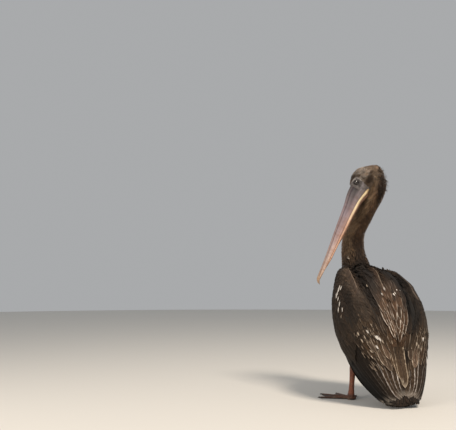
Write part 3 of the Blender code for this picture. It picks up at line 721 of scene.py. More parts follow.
def skin_material():
    """Bird skin: dull where feathers stand in it, leathery and faintly shiny where it is bare, with
    darker blotches and a net of fine creases."""
    made, tree, shader = new_material("Bare skin", Roughness=0.62, Specular_IOR_Level=0.35)
    place = node(tree, "TexCoord", output="Object")
    tone = node(tree, "Attribute", output="Color", attribute_name="tone")
    blotches = {"Vector": place, "Scale": across_mm(3.85), "Detail": 4.0}
    blotch = node(tree, "TexNoise", blotches, output="Fac")
    creases = {"Vector": place, "Scale": across_mm(1.11)}
    crease = node(tree, "TexVoronoi", creases, output="Distance", feature="DISTANCE_TO_EDGE")
    darker = node(tree, "Mix", {0: 0.55, FIRST: tone, SECOND: "1B1715"}, **MIXED)
    clear = node(tree, "MapRange", {"Value": blotch, "From Min": 0.35, "From Max": 0.62}, **SOFT_STEP)
    colour = node(tree, "Mix", {0: clear, FIRST: darker, SECOND: tone}, **MIXED)
    tree.links.new(colour, shader.inputs["Base Color"])
    relief = {"Strength": 0.35, "Distance": 0.0004, "Height": crease}
    tree.links.new(node(tree, "Bump", relief, output="Normal"), shader.inputs["Normal"])
    return made


skin_mesh = build_skin()
skin = new_piece("skin", skin_mesh, skin_material())
bpy.context.view_layer.objects.active = skin
skin.select_set(True)
bpy.ops.object.mode_set(mode="EDIT")
bpy.ops.mesh.select_all(action="SELECT")
bpy.ops.uv.smart_project(angle_limit=math.radians(66), island_margin=0.002)
bpy.ops.object.mode_set(mode="OBJECT")
skin.select_set(False)
skin_mesh.uv_layers[0].name = "OFBake"
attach(skin, "root")
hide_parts(*FLESH)

# Where a root's patch of the coat's own map goes: its place on that unwrap of the skin.
skin_faces = [tuple(face.vertices) for face in skin_mesh.polygons]
skin_tree = BVHTree.FromPolygons(mesh_points(skin_mesh).tolist(), skin_faces)
skin_uv = read_all(skin_mesh.uv_layers[0].data, "uv", 2, np.float32).reshape(-1, 3, 2).mean(1)


def root_places(points):
    """The places of feathers' roots on the unwrap of the skin."""
    return skin_uv[[skin_tree.find_nearest(point)[2] for point in points]]


# ---------------------------------------------------------------- eyes
# Eyeballs like a bird's own, in sockets between the lids: a wet, clear front over a dark brown
# iris round a black pupil. Each ball is a sphere whose cornea bulges a little.

CORNEA, PUPIL = 0.62, 0.30   # how far from the eye's axis each reaches, in radians
BULGE = 0.055                # how far the cornea stands out, as a share of the radius


def eye_material():
    """A wet eye: near black with a brown iris, under a clear coat that takes sharp highlights."""
    made, tree, shader = new_material("Wet eye", Roughness=0.12, Coat_Weight=1.0, Coat_Roughness=0.03)
    tone = node(tree, "Attribute", output="Color", attribute_name="tone")
    place = node(tree, "TexCoord", output="Object")
    fleck = node(tree, "TexNoise", {"Vector": place, "Scale": across_mm(0.714), "Detail": 3.0}, output="Fac")
    dark = node(tree, "Mix", {0: 1.0, FIRST: tone, SECOND: "9A8878"}, **MULTIPLIED)
    clear = node(tree, "MapRange", {"Value": fleck, "From Min": 0.4, "From Max": 0.6}, **SOFT_STEP)
    colour = node(tree, "Mix", {0: clear, FIRST: dark, SECOND: tone}, **MIXED)
    tree.links.new(colour, shader.inputs["Base Color"])
    return made


wet_eye = eye_material()
for word, side in SIDES:
    made = bmesh.new()
    bmesh.ops.create_uvsphere(made, u_segments=48, v_segments=32, radius=EYE_RADIUS)
    axis = Vector(eye_axis(side))
    bmesh.ops.rotate(made, verts=made.verts, matrix=Vector((0, 0, 1)).rotation_difference(axis).to_matrix())
    colours = []
    for vertex in made.verts:
        angle = vertex.co.angle(axis)
        if angle < CORNEA:
            vertex.co *= 1 + BULGE * (1 - (angle / CORNEA) ** 2)
        ring = "060505" if angle < PUPIL else "33241A" if angle < CORNEA else "14100E"
        colours.append(linear(ring))
        vertex.co += Vector(eye_centre[word])
    mesh = bpy.data.meshes.new(f"{word}_eyeball")
    made.to_mesh(mesh)
    made.free()
    mesh.shade_smooth()
    set_colours(mesh, "tone", np.array(colours))
    eye = new_piece(f"{word}_eyeball", mesh, wet_eye)
    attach(eye, "root")
    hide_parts(f"{word}_eye")

# ---------------------------------------------------------------- bill and pouch
# The bill is horn over bone: a long flat upper half with a ridge down its middle between two
# grooves, ending in a hooked nail, and a thin lower half from which the skin of the pouch hangs.

BILL_LENGTH = 0.372


def bill_place(points):
    """How far points lie along the bill, as a share of its length, above its root and to its left."""
    away = points - BILL_ROOT
    return away @ BILL / BILL_LENGTH, away @ CROWN, away @ HEAD_LEFT


def banded(bands, share):
    """Colours along a length, blended between those given at their places."""
    places, codes = zip(*bands)
    table = np.array([linear(code) for code in codes])
    return np.stack([np.interp(share, places, table[:, k]) for k in range(3)], -1)


def horn_material(name, roughness, gloss):
    """Bill horn, grown in thin layers and worn smooth: faintly streaked along its length, a little
    blotched, with a dull wax shine. The streaks are coarser than real ones, so that they show."""
    made, tree, shader = new_material(name, Roughness=roughness, Specular_IOR_Level=gloss)
    tone = node(tree, "Attribute", output="Color", attribute_name="tone")
    grain = node(tree, "UVMap", uv_map="Grain")
    long = node(tree, "Mapping", {"Vector": grain, "Scale": (across_mm(111), across_mm(2.38), 1.0)})
    streaks = {"Vector": long, "Scale": 1.0, "Detail": 5.0, "Roughness": 0.6}
    streak = node(tree, "TexNoise", streaks, output="Fac")
    blotch = node(tree, "TexNoise", {"Vector": grain, "Scale": across_mm(14.3), "Detail": 4.0}, output="Fac")
    darker = node(tree, "Mix", {0: 1.0, FIRST: tone, SECOND: "DAD4D4"}, **MULTIPLIED)
    between = node(tree, "MapRange", {"Value": streak, "From Min": 0.32, "From Max": 0.68}, **SOFT_STEP)
    colour = node(tree, "Mix", {0: between, FIRST: darker, SECOND: tone}, **MIXED)
    warm = node(tree, "Mix", {0: 1.0, FIRST: colour, SECOND: "EADCD2"}, **MULTIPLIED)
    patches = node(tree, "MapRange", {"Value": blotch, "From Min": 0.40, "From Max": 0.75}, **SOFT_STEP)
    colour = node(tree, "Mix", {0: patches, FIRST: colour, SECOND: warm}, **MIXED)
    tree.links.new(colour, shader.inputs["Base Color"])
    relief = {"Strength": 0.22, "Distance": 0.0005, "Height": streak}
    tree.links.new(node(tree, "Bump", relief, output="Normal"), shader.inputs["Normal"])
    return made


def dressed(name, nodes, mesh, points, tone, material):
    """Moves a fused mesh's points, colours it, and lets it stand for its solids."""
    move_points(mesh, points)
    mesh.shade_smooth()
    set_colours(mesh, "tone", tone)
    share, above, left = bill_place(points)
    layer = mesh.uv_layers.new(name="Grain")
    corner = read_all(mesh.loops, "vertex_index", 1, np.int32)[:, 0]
    grain = np.stack([share * BILL_LENGTH, left + above * 0.7], -1)[corner]
    layer.data.foreach_set("uv", grain.astype(np.float32).ravel())
    piece = new_piece(name, mesh, material)
    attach(piece, "root")
    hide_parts(*nodes)
    return piece


def tapered(points, share, start, end, least):
    """Narrows a long piece towards its far end, about the line down its middle."""
    thin = 1 - (1 - least) * smoothstep(share, start, end)
    above, left = (points - BILL_ROOT) @ CROWN, (points - BILL_ROOT) @ HEAD_LEFT
    marks = np.linspace(start, end, 12)
    highest = [above[np.abs(share - mark) < 0.03].max() for mark in marks]
    top = np.polyval(np.polyfit(marks, highest, 2), np.clip(share, start, end))
    points = points + CROWN * ((top - above) * (1 - thin))[:, None]
    return points - HEAD_LEFT * (left * (1 - thin) * 0.5)[:, None]


# Colours of the bill from its root to its tip: the sides of the upper half, the ridge down its
# middle, its lip, the lower half, the nail and the pouch.
UPPER_TONES = (
    (0.0, "4A4647"), (0.08, "5C5659"), (0.25, "8E8088"), (0.5, "B09C9E"), (0.8, "C6AEA0"), (1.0, "CAAA8C"),
)
RIDGE_TONES = ((0.0, "5E5757"), (0.08, "6A6062"), (0.22, "94848A"), (0.5, "AA9492"), (1.0, "C0A48E"))
LIP_TONES = ((0.0, "7A7274"), (0.08, "8A7E82"), (0.3, "B09896"), (0.6, "D0AC9A"), (1.0, "CEAA8C"))
LOWER_TONES = (
    (-0.06, "F0D8A8"), (0.10, "F8E8C0"), (0.24, "F6DFBC"), (0.36, "F0C8AC"), (0.6, "E4B89C"),
    (0.85, "D0A88C"), (1.0, "B08E70"),
)
NAIL_TONES = ((0.93, "C0A68C"), (0.96, "BC9E82"), (1.0, "A88A70"))
POUCH_TONES = ((0.0, "8C6E5C"), (0.3, "A07C66"), (0.9, "AC8468"))
# The grooves beside the ridge are painted darker, as painted shade; the other colour is that under the lower
# half.
GROOVE_SHADE, UNDER_TONE = "4E3D48", "A06A4C"
HALF_WIDTH, NARROWS = 0.0225, 0.0045     # of the upper half at its root, and how far it narrows


def build_upper_bill():
    mesh = fused("upper_mandible", ["upper_bill"], 0.0012, 3, grow=0.0004)
    points, normals = mesh_points(mesh), mesh_normals(mesh)
    share, above, left = bill_place(points)
    half = HALF_WIDTH - NARROWS * np.clip(share, 0, 1)
    top = normals @ CROWN
    groove_at = half * (0.44 - 0.10 * np.clip(share, 0, 1))
    groove = peak(np.abs(left), groove_at, 0.0013) * smoothstep(top, 0.0, 0.3)
    ridge = peak(left, 0, 0.0052) * smoothstep(top, 0.3, 0.8)
    lip = smoothstep(np.abs(left), half * 0.86, half * 0.97)
    points = points + normals * (0.0006 * ridge - 0.0011 * groove + 0.0004 * lip)[:, None]
    base = (1 - smoothstep(share, 0.0, 0.22)) * smoothstep(above, 0.004, 0.016)
    points = points + CROWN * (0.0042 * base)[:, None]
    root = 1 - smoothstep(share, -0.02, 0.05)
    points = points - BILL * (0.0065 * root)[:, None] + normals * (0.0006 * root)[:, None]
    on_ridge = smoothstep(groove_at - np.abs(left), 0.0, 0.001) * smoothstep(top, 0, 0.3)
    tone = toned(banded(UPPER_TONES, share), banded(RIDGE_TONES, share), on_ridge)
    # Painted shade along the grooves.
    tone = toned(tone, GROOVE_SHADE, groove * 0.85)
    tone = toned(tone, banded(LIP_TONES, share), lip * 0.7)
    return dressed("upper_mandible", ["upper_bill"], mesh, points, tone, horn)


def build_lower_bill():
    mesh = fused("lower_mandible", ["lower_bill"], 0.0011, 2, grow=0.0004)
    points, normals = mesh_points(mesh), mesh_normals(mesh)
    share, _, left = bill_place(points)
    wide = 0.0016 * (1 - smoothstep(share, 0.25, 0.55)) * smoothstep(share, 0.08, 0.22)
    wide = wide - 0.0012 * (1 - smoothstep(share, 0.02, 0.16))
    deep = wide * (normals @ CROWN < 0.3)
    points = points + HEAD_LEFT * (np.sign(left) * wide)[:, None] - CROWN * deep[:, None]
    points = tapered(points, share, 0.70, share.max(), 0.15)
    under = smoothstep(-(normals @ CROWN), 0.45, 0.9)
    tone = toned(banded(LOWER_TONES, share), UNDER_TONE, under * 0.50)
    return dressed("lower_mandible", ["lower_bill"], mesh, points, tone, pale_horn)


def build_nail():
    mesh = fused("nail_of_the_bill", ["bill_nail"], 0.0008, 2, grow=0.0003)
    points = mesh_points(mesh)
    share, _, _ = bill_place(points)
    overlap = 1 - smoothstep(share, share.min(), share.min() + 0.012)
    points = points - BILL * (0.0012 * overlap)[:, None]
    tone = banded(NAIL_TONES, share)
    return dressed("nail_of_the_bill", ["bill_nail"], mesh, points, tone, horn)


def build_pouch():
    mesh = fused("pouch", ["throat_pouch"], 0.0013, 3, grow=0.0002)
    points, normals = mesh_points(mesh), mesh_normals(mesh)
    share, _, left = bill_place(points)
    folds = np.sin(left * 1900 + np.sin(share * 40) * 0.8) + 0.5 * np.sin(left * 3300 + share * 60)
    points = tapered(points + normals * (folds * 0.00035)[:, None], share, 0.35, share.max(), 0.03)
    drawn = smoothstep(share, 0.45, 0.75)
    points = points + CROWN * (0.0032 * drawn)[:, None] - HEAD_LEFT * (left * 0.30 * drawn)[:, None]
    # The folds are painted darker in their troughs and paler on their crests, as painted shade and light.
    tone = banded(POUCH_TONES, share) * (0.8 + 0.2 * np.clip(folds, -1, 1))[:, None]
    return dressed("pouch", ["throat_pouch"], mesh, points, tone, pouch_leather)


# The pouch is thin, leathery skin. It has the horn's long streaks, as fine folds, and is duller.
horn = horn_material("Grey bill horn", 0.42, 0.45)
pale_horn = horn_material("Pale bill horn", 0.45, 0.45)
pouch_leather = horn_material("Pouch skin", 0.6, 0.3)
build_upper_bill()
build_lower_bill()
build_nail()
build_pouch()

# ---------------------------------------------------------------- legs and feet
# Short strong legs of scaly orange-brown skin. All four toes are joined by dark webs that lie flat
# on the floor, and each toe ends in a blunt claw.

FOOT_BASE = np.array([0.086, -0.022, 0.0])
TOE_RING, SHANK_SCUTE = 0.0042, 0.0046       # from one horny plate to the next


def leg_material():
    """Scaled leg skin: small plates with fine dark joints between them, slightly waxy, dusty from
    the ground."""
    made, tree, shader = new_material("Scaly leg skin", Roughness=0.55, Specular_IOR_Level=0.4)
    place = node(tree, "TexCoord", output="Object")
    tone = node(tree, "Attribute", output="Color", attribute_name="tone")
    cells = {"Vector": place, "Scale": across_mm(3.03)}
    plate = node(tree, "TexVoronoi", cells, output="Distance", feature="DISTANCE_TO_EDGE")
    joints = node(tree, "MapRange", {"Value": plate, "From Min": 0.02, "From Max": 0.12}, **SOFT_STEP)
    dirt = node(tree, "TexNoise", {"Vector": place, "Scale": across_mm(11.1), "Detail": 5.0}, output="Fac")
    dust = node(tree, "MapRange", {"Value": dirt, "From Min": 0.50, "From Max": 0.72}, **SOFT_STEP)
    dusty = node(tree, "Mix", {0: dust, FIRST: tone, SECOND: "7D6A58"}, **MIXED)
    dark = node(tree, "Mix", {0: 1.0, FIRST: dusty, SECOND: "6A5A50"}, **MULTIPLIED)
    colour = node(tree, "Mix", {0: joints, FIRST: dark, SECOND: dusty}, **MIXED)
    tree.links.new(colour, shader.inputs["Base Color"])
    relief = {"Strength": 0.6, "Distance": 0.0006, "Height": joints}
    tree.links.new(node(tree, "Bump", relief, output="Normal"), shader.inputs["Normal"])
    return made


leg_skin = leg_material()
for word, side in SIDES:
    nodes = [f"{word}_shank", f"{word}_foot"]
    mesh = fused(f"{word}_leg", nodes, 0.0012, 2, grow=0.0003)
    points, normals = mesh_points(mesh), mesh_normals(mesh)
    base = FOOT_BASE * (side, 1, 1) + STANDS_AT
    reach = np.linalg.norm((points - base)[:, :2], axis=1)
    on_foot = smoothstep(0.020 - points[:, 2], 0, 0.006)
    toe = on_foot * smoothstep(points[:, 2], 0.0034, 0.0050)
    rings = np.sin(reach * 2 * math.pi / TOE_RING)
    scutes = np.sin(points[:, 2] * 2 * math.pi / SHANK_SCUTE)
    scutes = scutes * smoothstep(-normals[:, 1], 0.1, 0.6) * (1 - on_foot)
    top = smoothstep(normals[:, 2], 0.1, 0.5)
    crumple = np.sin(reach * 420 + np.sin(points[:, 0] * 260) * 2.0) * on_foot * (1 - toe)
    relief = 0.00030 * rings * toe * top + 0.00030 * scutes + 0.00018 * crumple * top
    points = points + normals * relief[:, None]
    points[:, 2] = np.maximum(points[:, 2], 0.0)
    sole = (points[:, 2] < 0.0008) & (normals[:, 2] < -0.6)
    points[sole, 2] = 0.0
    tone = toned(np.array(linear("8E5238")), "74422F", smoothstep(points[:, 2], 0.05, 0.10))
    tone = toned(tone, "6B4636", on_foot)
    tone = toned(tone, "3B312B", on_foot * (1 - toe))
    dressed(f"{word}_leg", nodes, mesh, points, tone, leg_skin)


def claw_material():
    """Claw horn: near black, worn paler and duller in streaks."""
    made, tree, shader = new_material("Claw horn", Roughness=0.4)
    place = node(tree, "TexCoord", output="Object")
    wear = node(tree, "TexNoise", {"Vector": place, "Scale": across_mm(2), "Detail": 3.0}, output="Fac")
    worn = node(tree, "MapRange", {"Value": wear, "From Min": 0.4, "From Max": 0.7}, **SOFT_STEP)
    colour = node(tree, "Mix", {0: worn, FIRST: "1F1A17", SECOND: "4A4038"}, **MIXED)
    tree.links.new(colour, shader.inputs["Base Color"])
    return made


claw_horn = claw_material()
for name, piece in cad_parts.items():
    if name.endswith("claw"):
        piece.data.materials.clear()
        piece.data.materials.append(claw_horn)

# ---------------------------------------------------------------- how a feather is made
# A feather is a thin vane of keratin, rooted in the skin, with a shaft down its middle. Its barbs
# run from the shaft to the edge at a slant, and its edge is often paler and worn. All feathers of
# one kind are joined into one mesh.

chance = np.random.default_rng(11)
PATCH = 0.003                # the size of a feather's patch on the coat's map
PER_DECIMETRE = 10           # the Vane map counts a feather's length in decimetres
ROOT_SHADE = 0.62            # painted shade at a feather's root, where others lie over it: how bright the root is next to the tip
BARB_SLANT = 0.16            # how far a barb runs up the feather on its way to the edge


def vane_shape(along, shoulder, power, base=0.18):
    """Half width at shares of a vane's length: narrow at the root, then full, then the tip."""
    rise = np.clip(along / base, 0, 1) ** 0.6 * 0.72 + 0.28
    fall = (1 - np.clip((along - shoulder) / (1.0 - shoulder), 0, 1) ** power) ** 0.62
    return rise * np.maximum(fall, 0.04)


def spaced(count, crowd):
    """Shares of a vane's length, closer together towards its tip."""
    return 1 - (1 - np.linspace(0, 1, count)) ** crowd


def vane_piece(name, sheets, along, across, length, tone, fringe, material, replaced=()):
    """Joins vanes into one piece. sheets holds a grid of points for each feather; tone and fringe
    are the colours of each feather, or of each of its points."""
    count, rows, columns, _ = sheets.shape
    index = np.arange(count * rows * columns).reshape(count, rows, columns)
    quads = np.stack([index[:, :-1, :-1], index[:, :-1, 1:], index[:, 1:, 1:], index[:, 1:, :-1]], -1)
    quads = quads.reshape(-1, 4)
    mesh = bpy.data.meshes.new(name)
    mesh.vertices.add(sheets.size // 3)
    mesh.vertices.foreach_set("co", sheets.astype(np.float32).ravel())
    mesh.loops.add(quads.size)
    mesh.loops.foreach_set("vertex_index", quads.astype(np.int32).ravel())
    mesh.polygons.add(len(quads))
    mesh.polygons.foreach_set("loop_start", np.arange(0, quads.size, 4, dtype=np.int32))
    mesh.update(calc_edges=True)
    mesh.shade_smooth()
    full = (count, rows, columns)
    patch = np.empty((*full, 2))
    patch[..., 0] = across[None, None] * PATCH / 2
    patch[..., 1] = (along[None, :, None] - 0.5) * PATCH
    patch += root_places(sheets[:, 0, columns // 2])[:, None, None]
    local = np.empty((*full, 2))
    local[..., 0] = (across[None, None] + 1) / 2
    local[..., 1] = along[None, :, None] * length[:, None, None] * PER_DECIMETRE
    for layer, values in (("OFBake", np.clip(patch, 0, 1)), ("Vane", local)):
        corners = values.reshape(-1, 2)[quads.ravel()].astype(np.float32)
        mesh.uv_layers.new(name=layer)
        mesh.uv_layers[layer].data.foreach_set("uv", corners.ravel())
    set_colours(mesh, "tone", np.broadcast_to(tone, (*full, 3)).reshape(-1, 3))
    set_colours(mesh, "fringe", np.broadcast_to(fringe, (*full, 3)).reshape(-1, 3))
    piece = new_piece(name, mesh, material)
    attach(piece, "root")
    if replaced:
        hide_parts(*replaced)
    return piece


def vane_material(name, barbs, shaft, edge=(0.80, 0.95), streak=None, roughness=0.62, relief=0.4,
                  gloss=0.16):
    """Feather keratin: matt, with a faint sheen along the barbs. barbs is how many show in a
    centimetre, coarser than the real 15 or so, so that they show at all; they cling in clumps of
    a few. edge is where across the half vane the paler fringe starts and is full; with a streak,
    the pale part is that much round the shaft. shaft is the shaft's colour, if it shows."""
    made, tree, shader = new_material(name, Roughness=roughness, Specular_IOR_Level=gloss,
                                      Sheen_Weight=0.03, Sheen_Roughness=0.5)
    x = node(tree, "SeparateXYZ", {0: node(tree, "UVMap", uv_map="Vane")}, output="X")
    y = x.node.outputs["Y"]
    centred = node(tree, "Math", {0: x, 1: 0.5}, operation="SUBTRACT")
    across = node(tree, "Math", {0: centred}, operation="ABSOLUTE")
    slant = node(tree, "Math", {0: across, 1: -BARB_SLANT, 2: y}, operation="MULTIPLY_ADD")
    turns = barbs * PER_DECIMETRE * 2 * math.pi
    barb = node(tree, "Math", {0: slant, 1: turns}, operation="MULTIPLY")
    barb = node(tree, "Math", {0: barb}, operation="SINE")
    along = node(tree, "CombineXYZ", {0: across, 1: slant, 2: 0.0})
    clump = node(tree, "TexNoise", {"Vector": along, "Scale": barbs * 3.0, "Detail": 2.0}, output="Fac")
    tone = node(tree, "Attribute", output="Color", attribute_name="tone")
    fringe = node(tree, "Attribute", output="Color", attribute_name="fringe")
    worn = node(tree, "Math", {0: clump, 1: 0.16, 2: across}, operation="MULTIPLY_ADD")
    low, high = (streak + 0.14, streak + 0.02) if streak else (edge[0] / 2 + 0.08, edge[1] / 2 + 0.08)
    pale = node(tree, "MapRange", {"Value": worn, "From Min": low, "From Max": high}, **SOFT_STEP)
    colour = node(tree, "Mix", {0: pale, FIRST: tone, SECOND: fringe}, **MIXED)
    # Painted shade in the gaps between clumps of barbs.
    gap = node(tree, "MapRange", {"Value": clump, "From Min": 0.62, "From Max": 0.38}, **SOFT_STEP)
    deep = node(tree, "Mix", {0: gap, FIRST: "FFFFFF", SECOND: "B8B4B0"}, **MIXED)
    colour = node(tree, "Mix", {0: 1.0, FIRST: colour, SECOND: deep}, **MULTIPLIED)
    between = node(tree, "MapRange", {"Value": barb, "From Min": -0.2, "From Max": 0.9}, **SOFT_STEP)
    line = node(tree, "Mix", {0: between, FIRST: "FFFFFF", SECOND: "DEDAD6"}, **MIXED)
    colour = node(tree, "Mix", {0: 1.0, FIRST: colour, SECOND: line}, **MULTIPLIED)
    if shaft:
        middle = node(tree, "MapRange", {"Value": across, "From Min": 0.034, "From Max": 0.018}, **SOFT_STEP)
        colour = node(tree, "Mix", {0: middle, FIRST: colour, SECOND: shaft}, **MIXED)
    # A warm tint over every feather, as painted warm light.
    colour = node(tree, "Mix", {0: 1.0, FIRST: colour, SECOND: "FFF6EB"}, **MULTIPLIED)
    tree.links.new(colour, shader.inputs["Base Color"])
    bump = {"Strength": relief, "Distance": 0.0003, "Height": barb}
    tree.links.new(node(tree, "Bump", bump, output="Normal"), shader.inputs["Normal"])
    return made


def varied(colours, spread):
    """Colours that differ a little from feather to feather, in lightness and less in warmth."""
    light = np.exp(chance.normal(0, spread, (len(colours), 1)))
    warm = chance.normal(0, spread * 0.25, (len(colours), 1))
    return np.clip(colours * light * np.concatenate([1 + warm, np.ones_like(warm), 1 - warm], 1), 0, 1)


TRIES = 3.2                  # places tried for each that is wanted
CLEAR_FROM, CLEAR_TO = 0.002, 0.012      # nothing may lie over a root between these heights


def scattered(spacing):
    """Places spread evenly over the form, as far apart as spacing says at each of its points. There
    are none where it is 0, or where something lies close over the form."""
    each = spacing[form_faces]
    wanted = (each > 0).all(1)
    corners = form_points[form_faces]
    area = np.linalg.norm(np.cross(corners[:, 1] - corners[:, 0], corners[:, 2] - corners[:, 0]), axis=1) / 2
    crowd = np.where(wanted, area / np.maximum(each.mean(1), 1e-4) ** 2, 0)
    chosen = chance.choice(len(area), int(crowd.sum() * TRIES), p=crowd / crowd.sum())
    mix = chance.dirichlet((1, 1, 1), len(chosen))
    points = (corners[chosen] * mix[..., None]).sum(1)
    gaps = (each[chosen] * mix).sum(1)
    tree = KDTree(len(points))
    for k, point in enumerate(points):
        tree.insert(point, k)
    tree.balance()
    kept = np.ones(len(points), bool)
    for k in range(len(points)):
        if kept[k]:
            for _, other, _ in tree.find_range(points[k], gaps[k]):
                if other > k:
                    kept[other] = False
    chosen, mix, points = chosen[kept], mix[kept], points[kept]
    normals = unit((form_normals[form_faces[chosen]] * mix[..., None]).sum(1))
    starts = zip(points + normals * CLEAR_FROM, normals)
    clear = [form_tree.ray_cast(start, normal, CLEAR_TO)[0] is None for start, normal in starts]
    return points[clear], chosen[clear], mix[clear]


def at_places(values, chosen, mix):
    """Values held at the form's points, read at scattered places."""
    shape = mix if values.ndim == 1 else mix[..., None]
    return (values[form_faces[chosen]] * shape).sum(1)


face_lie = form_lie[form_faces].mean(1)
face_normal = unit(form_normals[form_faces].mean(1))


def combed(points, chosen, length, rows, stray):
    """Lines that start at these places and follow the lie of the coat over the form."""
    turn = chance.normal(0, stray, len(points))
    lie, normal = face_lie[chosen], face_normal[chosen]
    lines, normals, places = [], [], points
    for row in range(rows):
        lines.append(places)
        normals.append(normal)
        side = np.cross(normal, lie)
        way = unit(lie * np.cos(turn)[:, None] + side * np.sin(turn)[:, None])
        if row + 1 < rows:
            ahead = places + way * (length / (rows - 1))[:, None]
            hits = [form_tree.find_nearest(place) for place in ahead]
            places = np.array([hit[0] for hit in hits])
            faces = np.array([hit[2] for hit in hits])
            lie, normal = unit(face_lie[faces] + way * 0.6), unit(face_normal[faces] + normal)
    return np.stack(lines, 1), unit(np.stack(normals, 1))


LOOSE_CAMBER = 0.25          # how far a vane's edges curve down, as a share of its half width


def loose_vanes(lines, normals, half_width, across, lift, shape, roll=0.0, ragged=0.0):
    """Vanes bent along lines over the form. lift is each line's height over it, from root to tip."""
    way = unit(np.gradient(lines, axis=1))
    side = unit(np.cross(way, normals))
    wide = half_width[:, None] * shape[None]
    if ragged:
        wide = wide * np.exp(chance.normal(0, ragged, wide.shape))
    bend = roll * across - LOOSE_CAMBER * across**2
    heights = lift[:, :, None] + bend[None, None] * wide[:, :, None]
    sheets = lines[:, :, None] + side[:, :, None] * (wide[:, :, None] * across)[..., None]
    return sheets + normals[:, :, None] * heights[..., None]


# ---------------------------------------------------------------- head and neck: velvet
# The head and neck wear short, narrow, hair-like feathers that lie like velvet. They are a few
# millimetres long by the face and longer down the neck, and end in a ragged crest on the nape.

head_behind, head_above, _ = head_place(form_points)
on_head = form_owner == "head"
on_neck = np.char.startswith(form_owner, "neck") | ((form_owner == "trunk") & (form_at > 6.4))
feathered = 1 - bare_face(form_points) * on_head
SIZES_VARY = 0.10            # how much the feathers of a coat differ in length and width
EDGE_PALER = 0.0875          # how much paler a feather's edge is, where no colour is given for it


def lay_coat(name, spacing, length, half_width, lift, material, stray, rows=4, columns=3, shape=None,
             spread=0.16, roll=0.0, ragged=0.0, tones=None, fringes=None):
    """A coat of loose feathers over the part of the form where spacing isn't 0. stray is how far
    they lie across one another, and spread how much their colours differ."""
    points, chosen, mix = scattered(spacing)
    length = at_places(length, chosen, mix) * np.exp(chance.normal(0, SIZES_VARY, len(points)))
    half_width = at_places(half_width, chosen, mix) * np.exp(chance.normal(0, SIZES_VARY, len(points)))
    at, turn = at_places(form_at, chosen, mix), form_turn[form_faces[chosen, 0]]
    owner = form_owner[form_faces[chosen, 0]]
    lines, normals = combed(points, chosen, length, rows, stray)
    along, across = spaced(rows, 1.25), np.linspace(-1, 1, columns)
    lift = [np.broadcast_to(height, form_at.shape).astype(float) for height in lift]
    low, high = (at_places(height, chosen, mix) for height in lift)
    rise = low[:, None] + (high - low)[:, None] * (along**0.7)[None]
    shape = vane_shape(along, 0.30, 1.5) if shape is None else shape(along)
    sheets = loose_vanes(lines, normals, half_width, across, rise, shape, roll=roll, ragged=ragged)
    base = plumage(points, at, turn, owner) if tones is None else tones(points)
    base = varied(base, spread)
    pale = base + (1 - base) * EDGE_PALER if fringes is None else fringes(at, turn, base)
    # Painted shade towards each feather's root, where others lie over it.
    depth = ROOT_SHADE + (1 - ROOT_SHADE) * smoothstep(along, 0.1, 0.7)
    tone = base[:, None, None] * depth[None, :, None, None]
    return vane_piece(name, sheets, along, across, length, tone, pale[:, None, None], material)


velvet = vane_material("Velvet of the head and neck", 5.0, None, roughness=0.7, relief=0.25)
head_size = smoothstep(head_behind, 0.02, 0.10)
lay_coat(
    "head_velvet",
    np.where(on_head & (feathered > 0.5), 0.0019 + 0.0008 * head_size, 0),
    0.0058 + 0.0050 * head_size,
    0.00085 + 0.0005 * head_size,
    (-0.0022, 0.0006 + 0.0006 * head_size),
    velvet,
    stray=0.18,
    spread=0.24,
)
neck_size = smoothstep(10.5 - form_at, 0, 4.0)
lay_coat(
    "neck_velvet",
    np.where(on_neck, 0.0027 + 0.0017 * neck_size, 0),
    0.0105 + 0.0085 * neck_size,
    0.0014 + 0.0012 * neck_size,
    (-0.0050, 0.0008 + 0.0006 * neck_size),
    velvet,
    stray=0.16,
    spread=0.24,
)

# The crest: a ragged mane from the crown down the nape, standing off the neck at its tips.
crest_hair = vane_material("Crest feathers", 4.0, None, edge=(0.6, 1.0), roughness=0.65, relief=0.3)
back_line = np.abs(form_turn) < 22
on_hind_crown = on_head & (head_behind > 0.085) & (head_above < 0.020)
crest_place = back_line & ((on_neck & (form_at > 13.3)) | on_hind_crown)
crest_rise = smoothstep(form_at, 13.2, 14.0) * smoothstep(0.004 - head_above, 0, 0.034) * 0.85
lay_coat(
    "crest",
    np.where(crest_place, 0.0029, 0),
    0.011 + 0.009 * crest_rise,
    np.full(len(form_at), 0.0010),
    (-0.0030, 0.0022 + 0.0118 * crest_rise),
    crest_hair,
    rows=5,
    stray=0.38,
    ragged=0.10,
    tones=lambda points: np.repeat([linear("2C2016")], len(points), 0),
)

# ---------------------------------------------------------------- breast, belly and thighs
# Longer, lance-shaped feathers cover breast, belly and flanks. They are dark brown with a narrow
# white streak down the shaft, which is widest on the lower breast and at the front of the wing.

on_body = (form_owner == "trunk") & (form_at <= 6.9)
beneath = share_of(form_at, form_turn) > 1.85
on_thigh = np.char.endswith(form_owner, "thigh")
streaked = vane_material("Streaked breast feathers", 2.6, None, streak=0.05, roughness=0.65)


def streak_colour(at, turn, base):
    """Streaks are whiter on the lower breast than near the neck, on both sides alike."""
    amount = (0.30 + 0.5 * smoothstep(6.2 - at, 0, 2.0)) * chance.uniform(0.3, 1.0, len(turn))
    return toned(base, "CFC8BC", amount)


body_size = smoothstep(7.4 - form_at, 0, 1.6)
lay_coat(
    "breast_feathers",
    np.where((on_body & beneath) | on_thigh, 0.0046 + 0.0022 * body_size, 0),
    np.where(on_thigh, 0.016, 0.018 + 0.012 * body_size),
    np.where(on_thigh, 0.0030, 0.0030 + 0.0018 * body_size),
    (-0.0060, 0.0010),
    streaked,
    rows=6,
    columns=5,
    stray=0.12,
    ragged=0.05,
    fringes=streak_colour,
)

# ---------------------------------------------------------------- mantle and shoulder coverts
# The back between the wings and the shoulders of the wings are scaled over with small rounded
# feathers, grey-brown on the wing and warmer on the back, each with a slightly paler tip.

